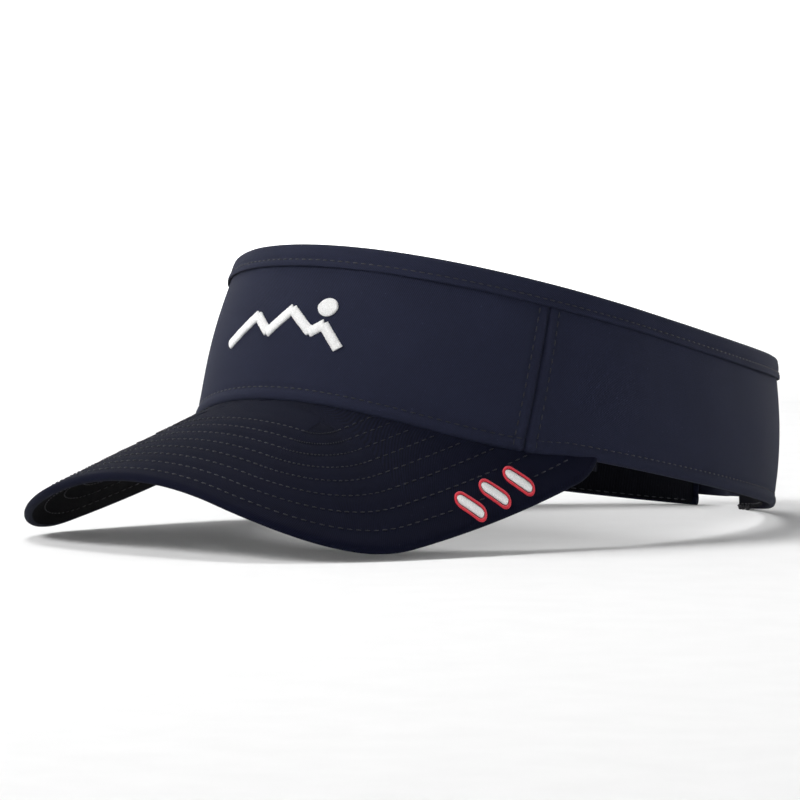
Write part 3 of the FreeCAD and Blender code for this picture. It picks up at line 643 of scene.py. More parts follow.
class Finish(Enum):
    """The visor's finishes, each under its slot in the record."""

    FACE = Woven("face_twill", NAVY_FACE)
    BINDING = Woven("binding_twill", NAVY_FACE, diagonal=-1.0, lint=0.2)
    # Upper brim cover: the navy twill with painted shade in its colour.
    BRIM = Woven("brim_twill", NAVY_BRIM_PAINTED_SHADE, diagonal=0.4, lint=0.3, gloss=0.06)
    # Brim underside: the navy twill with painted shadow in its colour.
    UNDER = Woven("under_brim", NAVY_UNDER_PAINTED_SHADOW, diagonal=0.4, lint=0.1, sheen=0.0, gloss=0.03)
    BUCKRAM = Woven("buckram", tint(20, 22, 29), pitch=1.1, diagonal=0.0, relief=0.0002, contrast=0.9,
                    lint=0.0)
    SEAM_TAPE = Woven("seam_tape", tint(15, 16, 24), pitch=0.8, diagonal=0.0, relief=0.0001)
    KNIT = Woven("sweatband_knit", tint(11, 12, 17), pitch=0.9, diagonal=0.0, relief=0.00015, contrast=0.5,
                 sheen=0.0, gloss=0.04)
    FOAM = Fuzzy("foam", tint(212, 206, 190), grain=1900.0)
    BOARD = Fuzzy("board", tint(196, 194, 186), grain=700.0, relief=0.00005, sheen=0.0)
    NAVY_THREAD = Spun("navy_thread", tint(8, 10, 21), sheen=0.0)
    WHITE_SATIN = Spun("white_satin", WHITE, roughness=0.42)
    RED_SATIN = Spun("red_satin", RED, roughness=0.42)
    WEBBING = Woven("strap_webbing", tint(22, 24, 37), pitch=0.9, diagonal=0.8, relief=0.0001)
    HOOK = Fuzzy("hook_pile", tint(15, 16, 24), grain=1300.0, relief=0.0004)
    LOOP = Fuzzy("loop_pile", tint(12, 13, 20), grain=900.0, relief=0.0005, sheen=0.12)
    LABEL = Woven("label_weave", tint(150, 151, 156), pitch=0.35, diagonal=0.2, relief=0.00003, lint=0.0)


# ----------------------------------------------------------------------------------------------------
# The bench that turns shapes into pieces
# ----------------------------------------------------------------------------------------------------
@dataclass(frozen=True)
class Stitch:
    """One stitch: its two ends, the direction away from the cloth, and its width and height."""

    start: Grid
    end: Grid
    outward: Grid
    width: float
    height: float


class Bench:
    """Makes the pieces, dresses them and puts them on their bodies."""

    def __init__(self, stance: Stance) -> None:
        """Starts with no materials and a bead that every stitch is copied from.

        Args:
            stance: how the band's frame stands.
        """
        self.stance = stance
        self.materials: dict[Finish, bpy.types.Material] = {}
        self.bead = bpy.data.meshes.new("stitch_bead")
        mesh = bmesh.new()
        bmesh.ops.create_uvsphere(mesh, u_segments=6, v_segments=5, radius=0.5)
        mesh.to_mesh(self.bead)
        mesh.free()

    def finish_of(self, finish: Finish) -> bpy.types.Material:
        """The material of a finish, made when it is first wanted."""
        if finish not in self.materials:
            self.materials[finish] = finish.value.material()
        return self.materials[finish]

    def sheet(self, grid: tuple[int, int], size: tuple[float, float], place: Place,
              edge: float) -> bmesh.types.BMesh:
        """A closed sheet of cloth with its own map in millimetres.

        Args:
            grid: how many squares it has along and across.
            size: its length and width, for the map.
            place: gives points from shares along, across and through the cloth.
            edge: how far its edges are rounded.

        Returns:
            The sheet, in the band's frame.
        """
        mesh = bmesh.new()
        bmesh.ops.create_grid(mesh, x_segments=grid[0], y_segments=grid[1], size=0.5)
        lid = bmesh.ops.extrude_face_region(mesh, geom=mesh.faces[:])["geom"]
        for vert in (item for item in lid if isinstance(item, bmesh.types.BMVert)):
            vert.co.z = 1.0
        shares = np.array([vert.co for vert in mesh.verts])
        cloth = mesh.loops.layers.uv.new(CLOTH_MAP)
        for face in mesh.faces:
            for loop in face.loops:
                corner = loop.vert.co
                loop[cloth].uv = ((corner.x + 0.5) * size[0], (corner.y + 0.5) * size[1] + corner.z * 0.7)
        points = place(shares[:, 0] + 0.5, shares[:, 1] + 0.5, shares[:, 2])
        for vert, point in zip(mesh.verts, points):
            vert.co = point
        bmesh.ops.recalc_face_normals(mesh, faces=mesh.faces)
        if edge:
            corners = [rim for rim in mesh.edges if rim.calc_face_angle(0.0) > 1.0]
            bmesh.ops.bevel(mesh, geom=corners, offset=edge, affect="EDGES", segments=2, profile=0.5,
                            material=-1, clamp_overlap=True)
        return mesh

    def stitches(self, rows: Iterable[Stitch]) -> bmesh.types.BMesh:
        """Every stitch as its own small bead.

        Args:
            rows: the stitches, in the band's frame.

        Returns:
            One mesh of them all.
        """
        mesh = bmesh.new()
        for stitch in rows:
            start, end = Vector(stitch.start), Vector(stitch.end)
            along = end - start
            length = along.length
            along.normalize()
            outward = Vector(stitch.outward)
            side = outward.cross(along).normalized()
            outward = along.cross(side)
            axes = (along * length, side * stitch.width, outward * stitch.height)
            bead = self.bead.copy()
            bead.transform(Matrix.Translation((start + end) / 2) @ Matrix(axes).transposed().to_4x4())
            mesh.from_mesh(bead)
            bpy.data.meshes.remove(bead)
        return mesh

    def piece(self, name: str, mesh: bmesh.types.BMesh, finish: Finish, stands_for: tuple[str, ...],
              body: str | None = "crown") -> bpy.types.Object:
        """Makes an object of a mesh and puts it on its body.

        Args:
            name: the piece's name.
            mesh: its mesh in the band's frame, which is freed.
            finish: what it is made of.
            stands_for: the CAD nodes that it replaces.
            body: what it rides on, or None for no body.

        Returns:
            The object.
        """
        bmesh.ops.transform(mesh, matrix=self.stance.matrix, verts=mesh.verts)
        for face in mesh.faces:
            face.smooth = True
        data = bpy.data.meshes.new(name)
        mesh.to_mesh(data)
        mesh.free()
        data.materials.append(self.finish_of(finish))
        made = bpy.data.objects.new(name, data)
        bpy.context.scene.collection.objects.link(made)
        if stands_for:
            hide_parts(*stands_for)
        if body:
            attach(made, body)
        LOG.info("%s: %d faces", name, len(data.polygons))
        return made


def dashes(track: Callable[[Grid], Grid], outward: Callable[[Grid], Grid], first: float, last: float,
           pitch: float, width: float = 0.42, height: float = 0.34, fill: float = 0.72) -> list[Stitch]:
    """A row of stitches along a track.

    Args:
        track: gives points at distances along the row.
        outward: gives the direction away from the cloth there.
        first: where the row starts.
        last: where it ends.
        pitch: the distance from stitch to stitch.
        width: a stitch's width.
        height: a stitch's height.
        fill: the share of the pitch that its thread covers.

    Returns:
        The stitches.
    """
    count = max(int(abs(last - first) / pitch), 1)
    middles = first + (last - first) * (np.arange(count) + 0.5) / count
    half = (last - first) / count * fill / 2
    starts, ends, away = track(middles - half), track(middles + half), outward(middles)
    return [Stitch(start, end, way, width, height) for start, end, way in zip(starts, ends, away)]


# ----------------------------------------------------------------------------------------------------
# Crown
# ----------------------------------------------------------------------------------------------------
@dataclass
class Crown:
    """The band's panels, stiffener, tapes, binding, sweatband and labels."""

    bench: Bench
    band: BandShape
    fabric: float = 0.7
    hem_roll: float = 0.85
    hem_inside: float = 2.4
    hem_share: float = 0.22
    hem_row: float = 4.0
    binding_height: float = 6.8
    binding_fold: float = 0.7
    binding_out: float = 0.85
    binding_in: float = -1.6
    binding_row: float = 1.95
    topstitch: float = 3.5
    end_row: float = 3.4
    stitch_pitch: float = 2.7
    thread_lift: float = 0.12
    temple_reach: float = 108.0
    sweatband_width: float = 31.0
    foam_reach: float = 62.0
    foam_floor: float = 8.0
    foam_height: float = 16.0
    label_height: float = 16.0
    mark_width: float = 47.0
    mark_rise: float = 11.0
    mark_x: float = -4.0
    mark_z: float = 31.0
    mark_stroke: float = 3.7
    tape_out: float = -0.95
    tape_in: float = -1.45
    sweat_out: float = -2.85
    sweat_in: float = -3.75
    sweatband_heights: tuple[float, float, float] = (38.0, 29.1, 25.8)

    def outward(self, along: Grid, height: Grid) -> Grid:
        """The direction away from the band's outer face."""
        return unit(self.band.point(along, height, 1.0) - self.band.point(along, height, 0.0))

    def face_offset(self, along: Grid, height: Grid, above_low: Grid) -> Grid:
        """How far the outer face stands out: the swell, the puffed hem, the seams and slow waves.

        Args:
            along: distances round the band from the front.
            height: heights in the band's frame.
            above_low: heights above the lower edge.

        Returns:
            The offsets from the straight taper.
        """
        low, top = self.band.low(along), self.band.top(along)
        share = (height - low) / (top - low)
        seam = np.abs(np.abs(along) - self.band.seam_along())
        swell = self.band.swell(along, share)
        puff = 0.5 * hump(above_low - 1.9, 1.5) - 0.32 * hump(above_low - self.hem_row, 0.7)
        pucker = 0.1 * np.sin(2 * math.pi * along / self.stitch_pitch) * hump(above_low - self.hem_row, 1.2)
        ditch = -0.75 * hump(seam, 0.55) + 0.28 * hump(seam - 1.9, 1.2)
        ditch -= 0.14 * hump(seam - self.topstitch, 0.5)
        waves = 0.32 * ripple(along, height, 2.0) * smooth(above_low, 2, 12)
        return swell + puff + pucker + ditch + waves

    def panel(self, name: str, first: float, last: float, node: str) -> None:
        """One face panel, its lower edge turned up inside in a rolled hem.

        Args:
            name: the piece's name.
            first: where it starts round the band.
            last: where it ends.
            node: the CAD node that it replaces.
        """
        band, roll = self.band, self.hem_roll
        stretch = abs(last - first)
        knots = np.array([0, 6, stretch - 6, stretch]) / stretch
        shares = [0, 0.07, 0.93, 1]

        def place(a: Grid, b: Grid, through: Grid) -> Grid:
            """Points of the panel and its hem.

            Args:
                a: shares along the sheet.
                b: shares across it.
                through: shares through its thickness.

            Returns:
                Points in the band's frame.
            """
            along = first + (last - first) * np.interp(a, shares, knots)
            low, top = band.low(along) + 0.05, band.top(along)
            in_hem = b < self.hem_share
            leg = np.clip(b / self.hem_share / 0.35, 0, 1)
            turn = np.clip((b / self.hem_share - 0.35) / 0.65, 0, 1) * math.pi
            rise = np.clip((b - self.hem_share) / (1 - self.hem_share), 0, 1) ** 1.25
            inner_leg = self.hem_inside - (self.hem_inside - roll) * leg
            rolled = np.where(turn > 0, roll - roll * np.sin(turn), inner_leg)
            above = np.where(in_hem, rolled, roll + (top - low - roll) * rise)
            offset = np.where(in_hem, -roll - roll * np.cos(turn), 0.0)
            normal_up = np.where(in_hem, -np.sin(turn), 0.0)
            normal_out = np.where(in_hem, -np.cos(turn), 1.0)
            depth = (through - 1) * self.fabric
            above_out = above + normal_up * depth
            relief = self.face_offset(along, low + np.maximum(above, 0), above)
            return band.point(along, low + above_out, offset + normal_out * depth + relief)

        mesh = self.bench.sheet((int(stretch * 0.95) + 24, 60), (stretch, 62.0), place, 0.22)
        self.bench.piece(name, mesh, Finish.FACE, (node,))

    def lining(self, name: str, first: float, last: float, levels: tuple[Level, Level],
               offsets: tuple[float, float], finish: Finish, nodes: tuple[str, ...],
               swell: float = 1.0) -> None:
        """A flat layer inside the band, between two edge lines and two offsets.

        Args:
            name: the piece's name.
            first: where it starts round the band.
            last: where it ends.
            levels: give its lower and upper edges.
            offsets: its outer and inner faces, outwards from the band's face.
            finish: what it is made of.
            nodes: the CAD nodes that it replaces.
            swell: how much of the panels' swell it follows.
        """
        stretch = abs(last - first)

        def place(a: Grid, b: Grid, through: Grid) -> Grid:
            """Points of the layer.

            Args:
                a: shares along the sheet.
                b: shares across it.
                through: shares through its thickness.

            Returns:
                Points in the band's frame.
            """
            along = first + (last - first) * a
            low, top = self.band.low(along), self.band.top(along)
            bottom, ceiling = levels[0](along), levels[1](along)
            height = bottom + (ceiling - bottom) * b
            outer, inner = offsets
            relief = swell * self.band.swell(along, (height - low) / (top - low))
            return self.band.point(along, height, relief + inner + (outer - inner) * through)

        mesh = self.bench.sheet((max(int(stretch / 2), 6), 16), (stretch, 40.0), place, 0.12)
        self.bench.piece(name, mesh, finish, nodes)

    def make_linings(self) -> None:
        """The stiffener behind the front panel, the tapes over the side seams and over the brim's seam."""
        seam, half = self.band.seam_along(), 5.0

        def floor(along: Grid) -> Grid:
            """Just over the band's lower edge."""
            return self.band.low(along) + 0.8

        def ceiling(along: Grid) -> Grid:
            """Just inside the binding."""
            return self.band.top(along) - self.binding_height + 0.6

        offsets = (self.tape_out, self.tape_in)
        self.lining("front_stiffening", -seam + half, seam - half, (floor, ceiling), offsets, Finish.BUCKRAM,
                    ("front_stiffener",))
        for word, side in (("left", 1), ("right", -1)):
            self.lining(f"{word}_seam_cover", side * (seam - half), side * (seam + half), (floor, ceiling),
                        (self.tape_out, self.tape_in - 0.15), Finish.SEAM_TAPE, (f"{word}_seam_tape",))

        def brim_floor(along: Grid) -> Grid:
            """Under the seam, among the brim's layers."""
            return self.band.low(along) - 2.6

        def brim_ceiling(along: Grid) -> Grid:
            """The tape's upper edge."""
            return self.band.low(along) + 7.0

        reach = self.temple_reach
        self.lining("brim_root_tape", -reach, reach, (brim_floor, brim_ceiling), (-1.9, -2.4),
                    Finish.SEAM_TAPE, ("brim_seam_tape",), 0.0)

    def make_binding(self) -> None:
        """The tape folded over the top edge, its own edges turned under."""
        end = self.band.end_along()
        middle = (self.binding_out + self.binding_in) / 2
        roll = (self.binding_out - self.binding_in) / 2
        leg = self.binding_height - roll
        whole = 2 * leg + math.pi * roll

        def place(a: Grid, b: Grid, through: Grid) -> Grid:
            """Points of the tape, up one face, over and down the other.

            Args:
                a: shares along the sheet.
                b: shares across it.
                through: shares through its thickness.

            Returns:
                Points in the band's frame.
            """
            along = -end + 2 * end * a
            run = b * whole
            turn = np.clip((run - leg) / roll, 0, math.pi)
            top = self.band.top(along) + self.binding_fold
            down = np.where(run < leg, leg - run, np.where(run > whole - leg, run - whole + leg, 0.0))
            height = top - roll - down + roll * np.sin(turn)
            offset = middle + roll * np.cos(turn)
            way_up, way_out = np.sin(turn), np.cos(turn)
            depth = (through - 1) * 0.6
            free = self.binding_height - 0.2 - (top - height)
            puff = 0.22 * hump(free - 0.9, 0.8) - 0.2 * hump(free - 2.1, 0.5)
            puff += 0.12 * hump(free - 4, 1.4)
            wave = 0.07 * np.sin(2 * math.pi * along / self.stitch_pitch) * hump(free - 1.6, 1.4)
            slow = 0.16 * ripple(along * 1.7, height, 5.0)
            share = (height - self.band.low(along)) / (top - self.band.low(along))
            relief = self.band.swell(along, share) + np.sign(way_out) * (puff + wave) + slow
            return self.band.point(along, height + way_up * depth, offset + way_out * depth + relief)

        mesh = self.bench.sheet((430, 34), (2 * end, whole), place, 0.18)
        self.bench.piece("folded_binding", mesh, Finish.BINDING, ("top_binding",))

    def surface(self, along: Grid, height: Grid, lift: float) -> Grid:
        """Points on the crown's outer face, as the panels shape it."""
        above = height - self.band.low(along)
        return self.band.point(along, height, self.face_offset(along, height, above) + lift)

    def row(self, first: float, last: float, level: Callable[[Grid], Grid], lift: float) -> list[Stitch]:
        """A row round the crown at a height that varies along it."""
        return dashes(lambda at: self.surface(at, level(at), lift), lambda at: self.outward(at, level(at)),
                      first, last, self.stitch_pitch)

    def make_stitching(self) -> None:
        """The rows sewn through the crown."""
        seam, end = self.band.seam_along(), self.band.end_along()

        def hem_level(along: Grid) -> Grid:
            """The height of the hem's row."""
            return self.band.low(along) + self.hem_row

        hem = self.row(-end + 4, -seam - 0.8, hem_level, self.thread_lift)
        hem += self.row(-seam + 0.8, seam - 0.8, hem_level, self.thread_lift)
        hem += self.row(seam + 0.8, end - 4, hem_level, self.thread_lift)
        for side in (-1, 1):
            at = side * (end - self.end_row)

            def upright(height: Grid, at: float = at) -> Grid:
                """A line up the opening's edge."""
                return self.surface(np.full(np.shape(height), at), height, self.thread_lift)

            def away(height: Grid, at: float = at) -> Grid:
                """The direction outwards along it."""
                return self.outward(np.full(np.shape(height), at), height)

            bottom, ceiling = float(hem_level(np.array(at))) + 1, float(self.band.top(np.array(at))) - 6
            hem += dashes(upright, away, bottom, ceiling, self.stitch_pitch)
        self.bench.piece("hem_seam_stitches", self.bench.stitches(hem), Finish.NAVY_THREAD,
                         ("hem_stitching",))

        rows: list[Stitch] = []
        for side in (-1, 1):
            for shift in (-self.topstitch, self.topstitch):
                at = side * seam + shift
                low, top = float(self.band.low(np.array(at))), float(self.band.top(np.array(at)))
                rows += dashes(lambda h, at=at: self.surface(np.full(np.shape(h), at), h, self.thread_lift),
                               lambda h, at=at: self.outward(np.full(np.shape(h), at), h),
                               low + 1.2, top - self.binding_height + 0.4, self.stitch_pitch)
        self.bench.piece("side_seam_stitches", self.bench.stitches(rows), Finish.NAVY_THREAD,
                         ("side_seam_stitching",))

        def bound(level: float, offset: float) -> Callable[[Grid], Grid]:
            """A row along the binding.

            Args:
                level: its height above the binding's free edge.
                offset: how far out it lies.

            Returns:
                The row's track.
            """
            def track(along: Grid) -> Grid:
                """Points of the row.

                Args:
                    along: distances round the band from the front.

                Returns:
                    Points in the band's frame.
                """
                top = self.band.top(along) + self.binding_fold
                height = top - self.binding_height + level
                share = (height - self.band.low(along)) / (top - self.band.low(along))
                relief = self.band.swell(along, share) + 0.16 * ripple(along * 1.7, height, 5.0)
                return self.band.point(along, height, offset + relief)
            return track

        rows = []
        for offset, sign in ((self.binding_out + 0.02, 1), (self.binding_in - 0.02, -1)):
            rows += dashes(bound(self.binding_row, offset),
                           lambda at, sign=sign: sign * self.outward(at, self.band.top(at)),
                           -end + 1.5, end - 1.5, self.stitch_pitch)
        self.bench.piece("binding_stitches", self.bench.stitches(rows), Finish.NAVY_THREAD,
                         ("binding_stitching",))

    def make_sweatband(self) -> None:
        """The soft strip against the head, swelled by its own padding, and the foam behind its front."""
        end = self.band.end_along()

        def floor(along: Grid) -> Grid:
            """The strip's lower edge, deeper over the brim."""
            reach = smooth(self.temple_reach - np.abs(along), 0, 8)
            return self.band.low(along) + 0.3 - 2.9 * reach

        def ceiling(along: Grid) -> Grid:
            """The strip's upper edge."""
            return self.band.line(self.sweatband_heights, along)

        def place(a: Grid, b: Grid, through: Grid) -> Grid:
            """Points of the strip, a little slack.

            Args:
                a: shares along the sheet.
                b: shares across it.
                through: shares through its thickness.

            Returns:
                Points in the band's frame.
            """
            along = -end + 2 * end * a
            bottom, top = floor(along), ceiling(along)
            height = bottom + (top - bottom) * b
            plump = 0.35 * np.sin(math.pi * b) ** 0.6 * (1 - through)
            slack = 0.45 * ripple(along * 1.3, height, 8.0) * smooth(b, 0.1, 0.7)
            return self.band.point(along, height, self.sweat_in - plump + slack - 0.45
                                   + (self.sweat_out - self.sweat_in) * through)

        mesh = self.bench.sheet((230, 16), (2 * end, self.sweatband_width), place, 0.0)
        made = self.bench.piece("sweatband_pad", mesh, Finish.KNIT, ("sweatband",))
        self.puff(made, 0.0009)

        reach = self.foam_reach

        def foam_place(a: Grid, b: Grid, through: Grid) -> Grid:
            """Points of the foam, thin at its rims."""
            along = -reach + 2 * reach * a
            height = self.band.low(along) + self.foam_floor + self.foam_height * b
            plump = np.sin(math.pi * b) ** 0.5 * np.sin(math.pi * a) ** 0.25
            return self.band.point(along, height, -2.1 + (through - 0.5) * (0.3 + 0.8 * plump))

        mesh = self.bench.sheet((60, 14), (2 * reach, self.foam_height), foam_place, 0.1)
        self.bench.piece("forehead_foam", mesh, Finish.FOAM, ("sweatband_foam",))

        def row(level: Callable[[Grid], Grid]) -> list[Stitch]:
            """A row of stitches along an edge of the strip."""
            return dashes(lambda at: self.band.point(at, level(at), self.sweat_in - 0.62),
                          lambda at: -self.outward(at, level(at)), -end + 2, end - 2, self.stitch_pitch)

        rows = row(lambda at: floor(at) + 1.0) + row(lambda at: ceiling(at) - 1.6)
        self.bench.piece("sweatband_stitches", self.bench.stitches(rows), Finish.NAVY_THREAD,
                         ("sweatband_stitching",))

    def puff(self, made: bpy.types.Object, limit: float) -> None:
        """Swells a padded piece with the cloth simulation, holding its sewn long edges.

        Args:
            made: the piece, whose mesh is replaced by its swelled one.
            limit: how far a point may move.
        """
        columns = np.array([vert.co for vert in made.data.vertices])
        sewn = made.vertex_groups.new(name="sewn")
        cloth_map = made.data.uv_layers[CLOTH_MAP].data
        share = np.zeros(len(made.data.vertices))
        for loop in made.data.loops:
            share[loop.vertex_index] = cloth_map[loop.index].uv.y / self.sweatband_width
        held = [int(index) for index in np.nonzero((share < 0.11) | (share > 0.9))[0]]
        sewn.add(held, 1.0, "REPLACE")
        puff = made.modifiers.new("puff", "CLOTH")
        puff.settings.use_pressure = True
        puff.settings.uniform_pressure_force = 3.0
        puff.settings.vertex_group_mass = "sewn"
        puff.settings.effector_weights.gravity = 0.0
        for step in range(1, 13):
            bpy.context.scene.frame_set(step)
        swelled = made.evaluated_get(bpy.context.evaluated_depsgraph_get()).to_mesh()
        moved = np.array([vert.co for vert in swelled.vertices]) - columns
        far = np.maximum(np.linalg.norm(moved, axis=1, keepdims=True), 1e-9)
        columns += moved * np.minimum(1.0, limit / far)
        made.modifiers.remove(puff)
        bpy.context.scene.frame_set(1)
        for vert, point in zip(made.data.vertices, columns):
            vert.co = point
        finer = made.modifiers.new("finer", "SUBSURF")
        finer.levels = 1
        finer.render_levels = 1

    def make_fray(self) -> None:
        """The frayed end of the sweatband at the opening, with two threads left hanging."""
        end = self.band.end_along()
        wobble = random.Random(SEED + 2)
        low = float(self.band.low(np.array(end)))
        strands: list[Stitch] = []

        def spot(along: float, height: float, offset: float) -> Grid:
            """One point of the band."""
            return self.band.point(np.array(along), np.array(height), np.array(offset))

        for index in range(150):
            at = end - 0.3 - 8.0 * (index / 150) ** 1.4
            height = low + wobble.uniform(0.2, 1.6)
            offset = self.sweat_in + wobble.uniform(-0.5, 0.8)
            tip = spot(at + wobble.uniform(-0.5, 0.7), height - wobble.uniform(0.5, 1.5),
                       offset - wobble.uniform(0, 0.6))
            strands.append(Stitch(spot(at, height, offset), tip, np.array([1.0, 0.0, 0.2]), 0.3, 0.3))
        for start, reach, fall in ((9.5, 4.6, 0.5), (8.6, 3.4, 1.3)):
            run = np.linspace(0, 1, 9)
            bends = [spot(end - start - reach * share, low + 1.6 - fall * share - 0.8 * share**2,
                          self.sweat_in - 0.5 * math.sin(3 * share)) for share in run]
            strands += [Stitch(one, other, np.array([0.0, 0.0, 1.0]), 0.16, 0.16)
                        for one, other in zip(bends, bends[1:])]
        self.bench.piece("frayed_end", self.bench.stitches(strands), Finish.LOOP, ())

    def make_labels(self) -> None:
        """Two blank labels sewn on the sweatband: a woven one at the front and a small one at the side."""
        for name, node, middle, width, level in (("front_label", "maker_label", 0.0, 34.0, 13.0),
                                                 ("side_label", "care_label", -128.0, 12.0, 5.0)):
            def place(a: Grid, b: Grid, through: Grid, middle: float = middle, width: float = width,
                      level: float = level) -> Grid:
                """Points of the label, bowed a little off the strip.

                Args:
                    a: shares along the sheet.
                    b: shares across it.
                    through: shares through its thickness.
                    middle: where it lies round the band.
                    width: its width.
                    level: its height over the lower edge.

                Returns:
                    Points in the band's frame.
                """
                along = middle + width * (a - 0.5)
                height = self.band.low(along) + level + self.label_height * b
                lift = self.sweat_in - 1.75 - 0.3 * hump(b, 0.3) - (1 - through) * 0.3
                return self.band.point(along, height, lift)

            mesh = self.bench.sheet((int(width), 16), (width, self.label_height), place, 0.08)
            made = self.bench.piece(name, mesh, Finish.LABEL, (node,))
            self.label_height / 1000

    def make_mark(self) -> None:
        """A raised ridge of three peaks under a disc, in satin stitch laid across each stroke."""
        middle, size = np.array([self.mark_x, self.mark_z]), np.array([self.mark_width, self.mark_rise])
        plan = [(-0.5, -0.5), (-0.24, 0.3), (-0.1, -0.15), (0.08, 0.5), (0.27, -0.1), (0.36, 0.12),
                (0.5, -0.5)]
        points = [middle + np.array(spot) * size for spot in plan]
        runs = np.linspace(-90, 90, 361)

        def on_face(spot: Grid, lift: float) -> tuple[Grid, Grid]:
            """A point of the mark laid on the front, and the direction outwards."""
            xs = self.band.point(runs, spot[1], 0.0)[:, 0]
            along = np.interp(spot[0], xs, runs)
            return self.surface(np.array(along), np.array(spot[1]), lift), self.outward(along, spot[1])

        strands: list[Stitch] = []

        def strand(centre: Grid, across: Grid, half: float) -> None:
            """Adds one thread across a stroke."""
            start, _ = on_face(centre - across * half, 0.2)
            end, way = on_face(centre + across * half, 0.2)
            strands.append(Stitch(start, end, way, 0.44, 1.5))

        wobble = random.Random(SEED)
        for start, end in zip(points, points[1:]):
            way = (end - start) / np.linalg.norm(end - start)
            across = np.array([-way[1], way[0]]) + way * 0.18
            count = int(np.linalg.norm(end - start) / 0.3)
            for step in range(count + 1):
                centre = start + (end - start) * step / count
                strand(centre, across, self.mark_stroke / 2 * (1 + wobble.uniform(-0.06, 0.06)))
        disc = middle + np.array([0.36, 0.6]) * size
        radius = self.mark_stroke * 0.9
        for shift in np.arange(-radius + 0.2, radius, 0.3):
            strand(disc + np.array([shift, 0.0]), np.array([0.0, 1.0]), math.sqrt(radius**2 - shift**2))
        self.bench.piece("front_satin_mark", self.bench.stitches(strands), Finish.WHITE_SATIN,
                         ("front_embroidery",))

    def make(self) -> None:
        """Makes the whole crown."""
        seam, end = self.band.seam_along(), self.band.end_along()
        self.panel("front_face", -seam, seam, "front_panel")
        self.panel("left_face", seam, end, "left_side_panel")
        self.panel("right_face", -end, -seam, "right_side_panel")
        self.make_linings()
        self.make_binding()
        self.make_stitching()
        self.make_sweatband()
        self.make_fray()
        self.make_labels()
        self.make_mark()


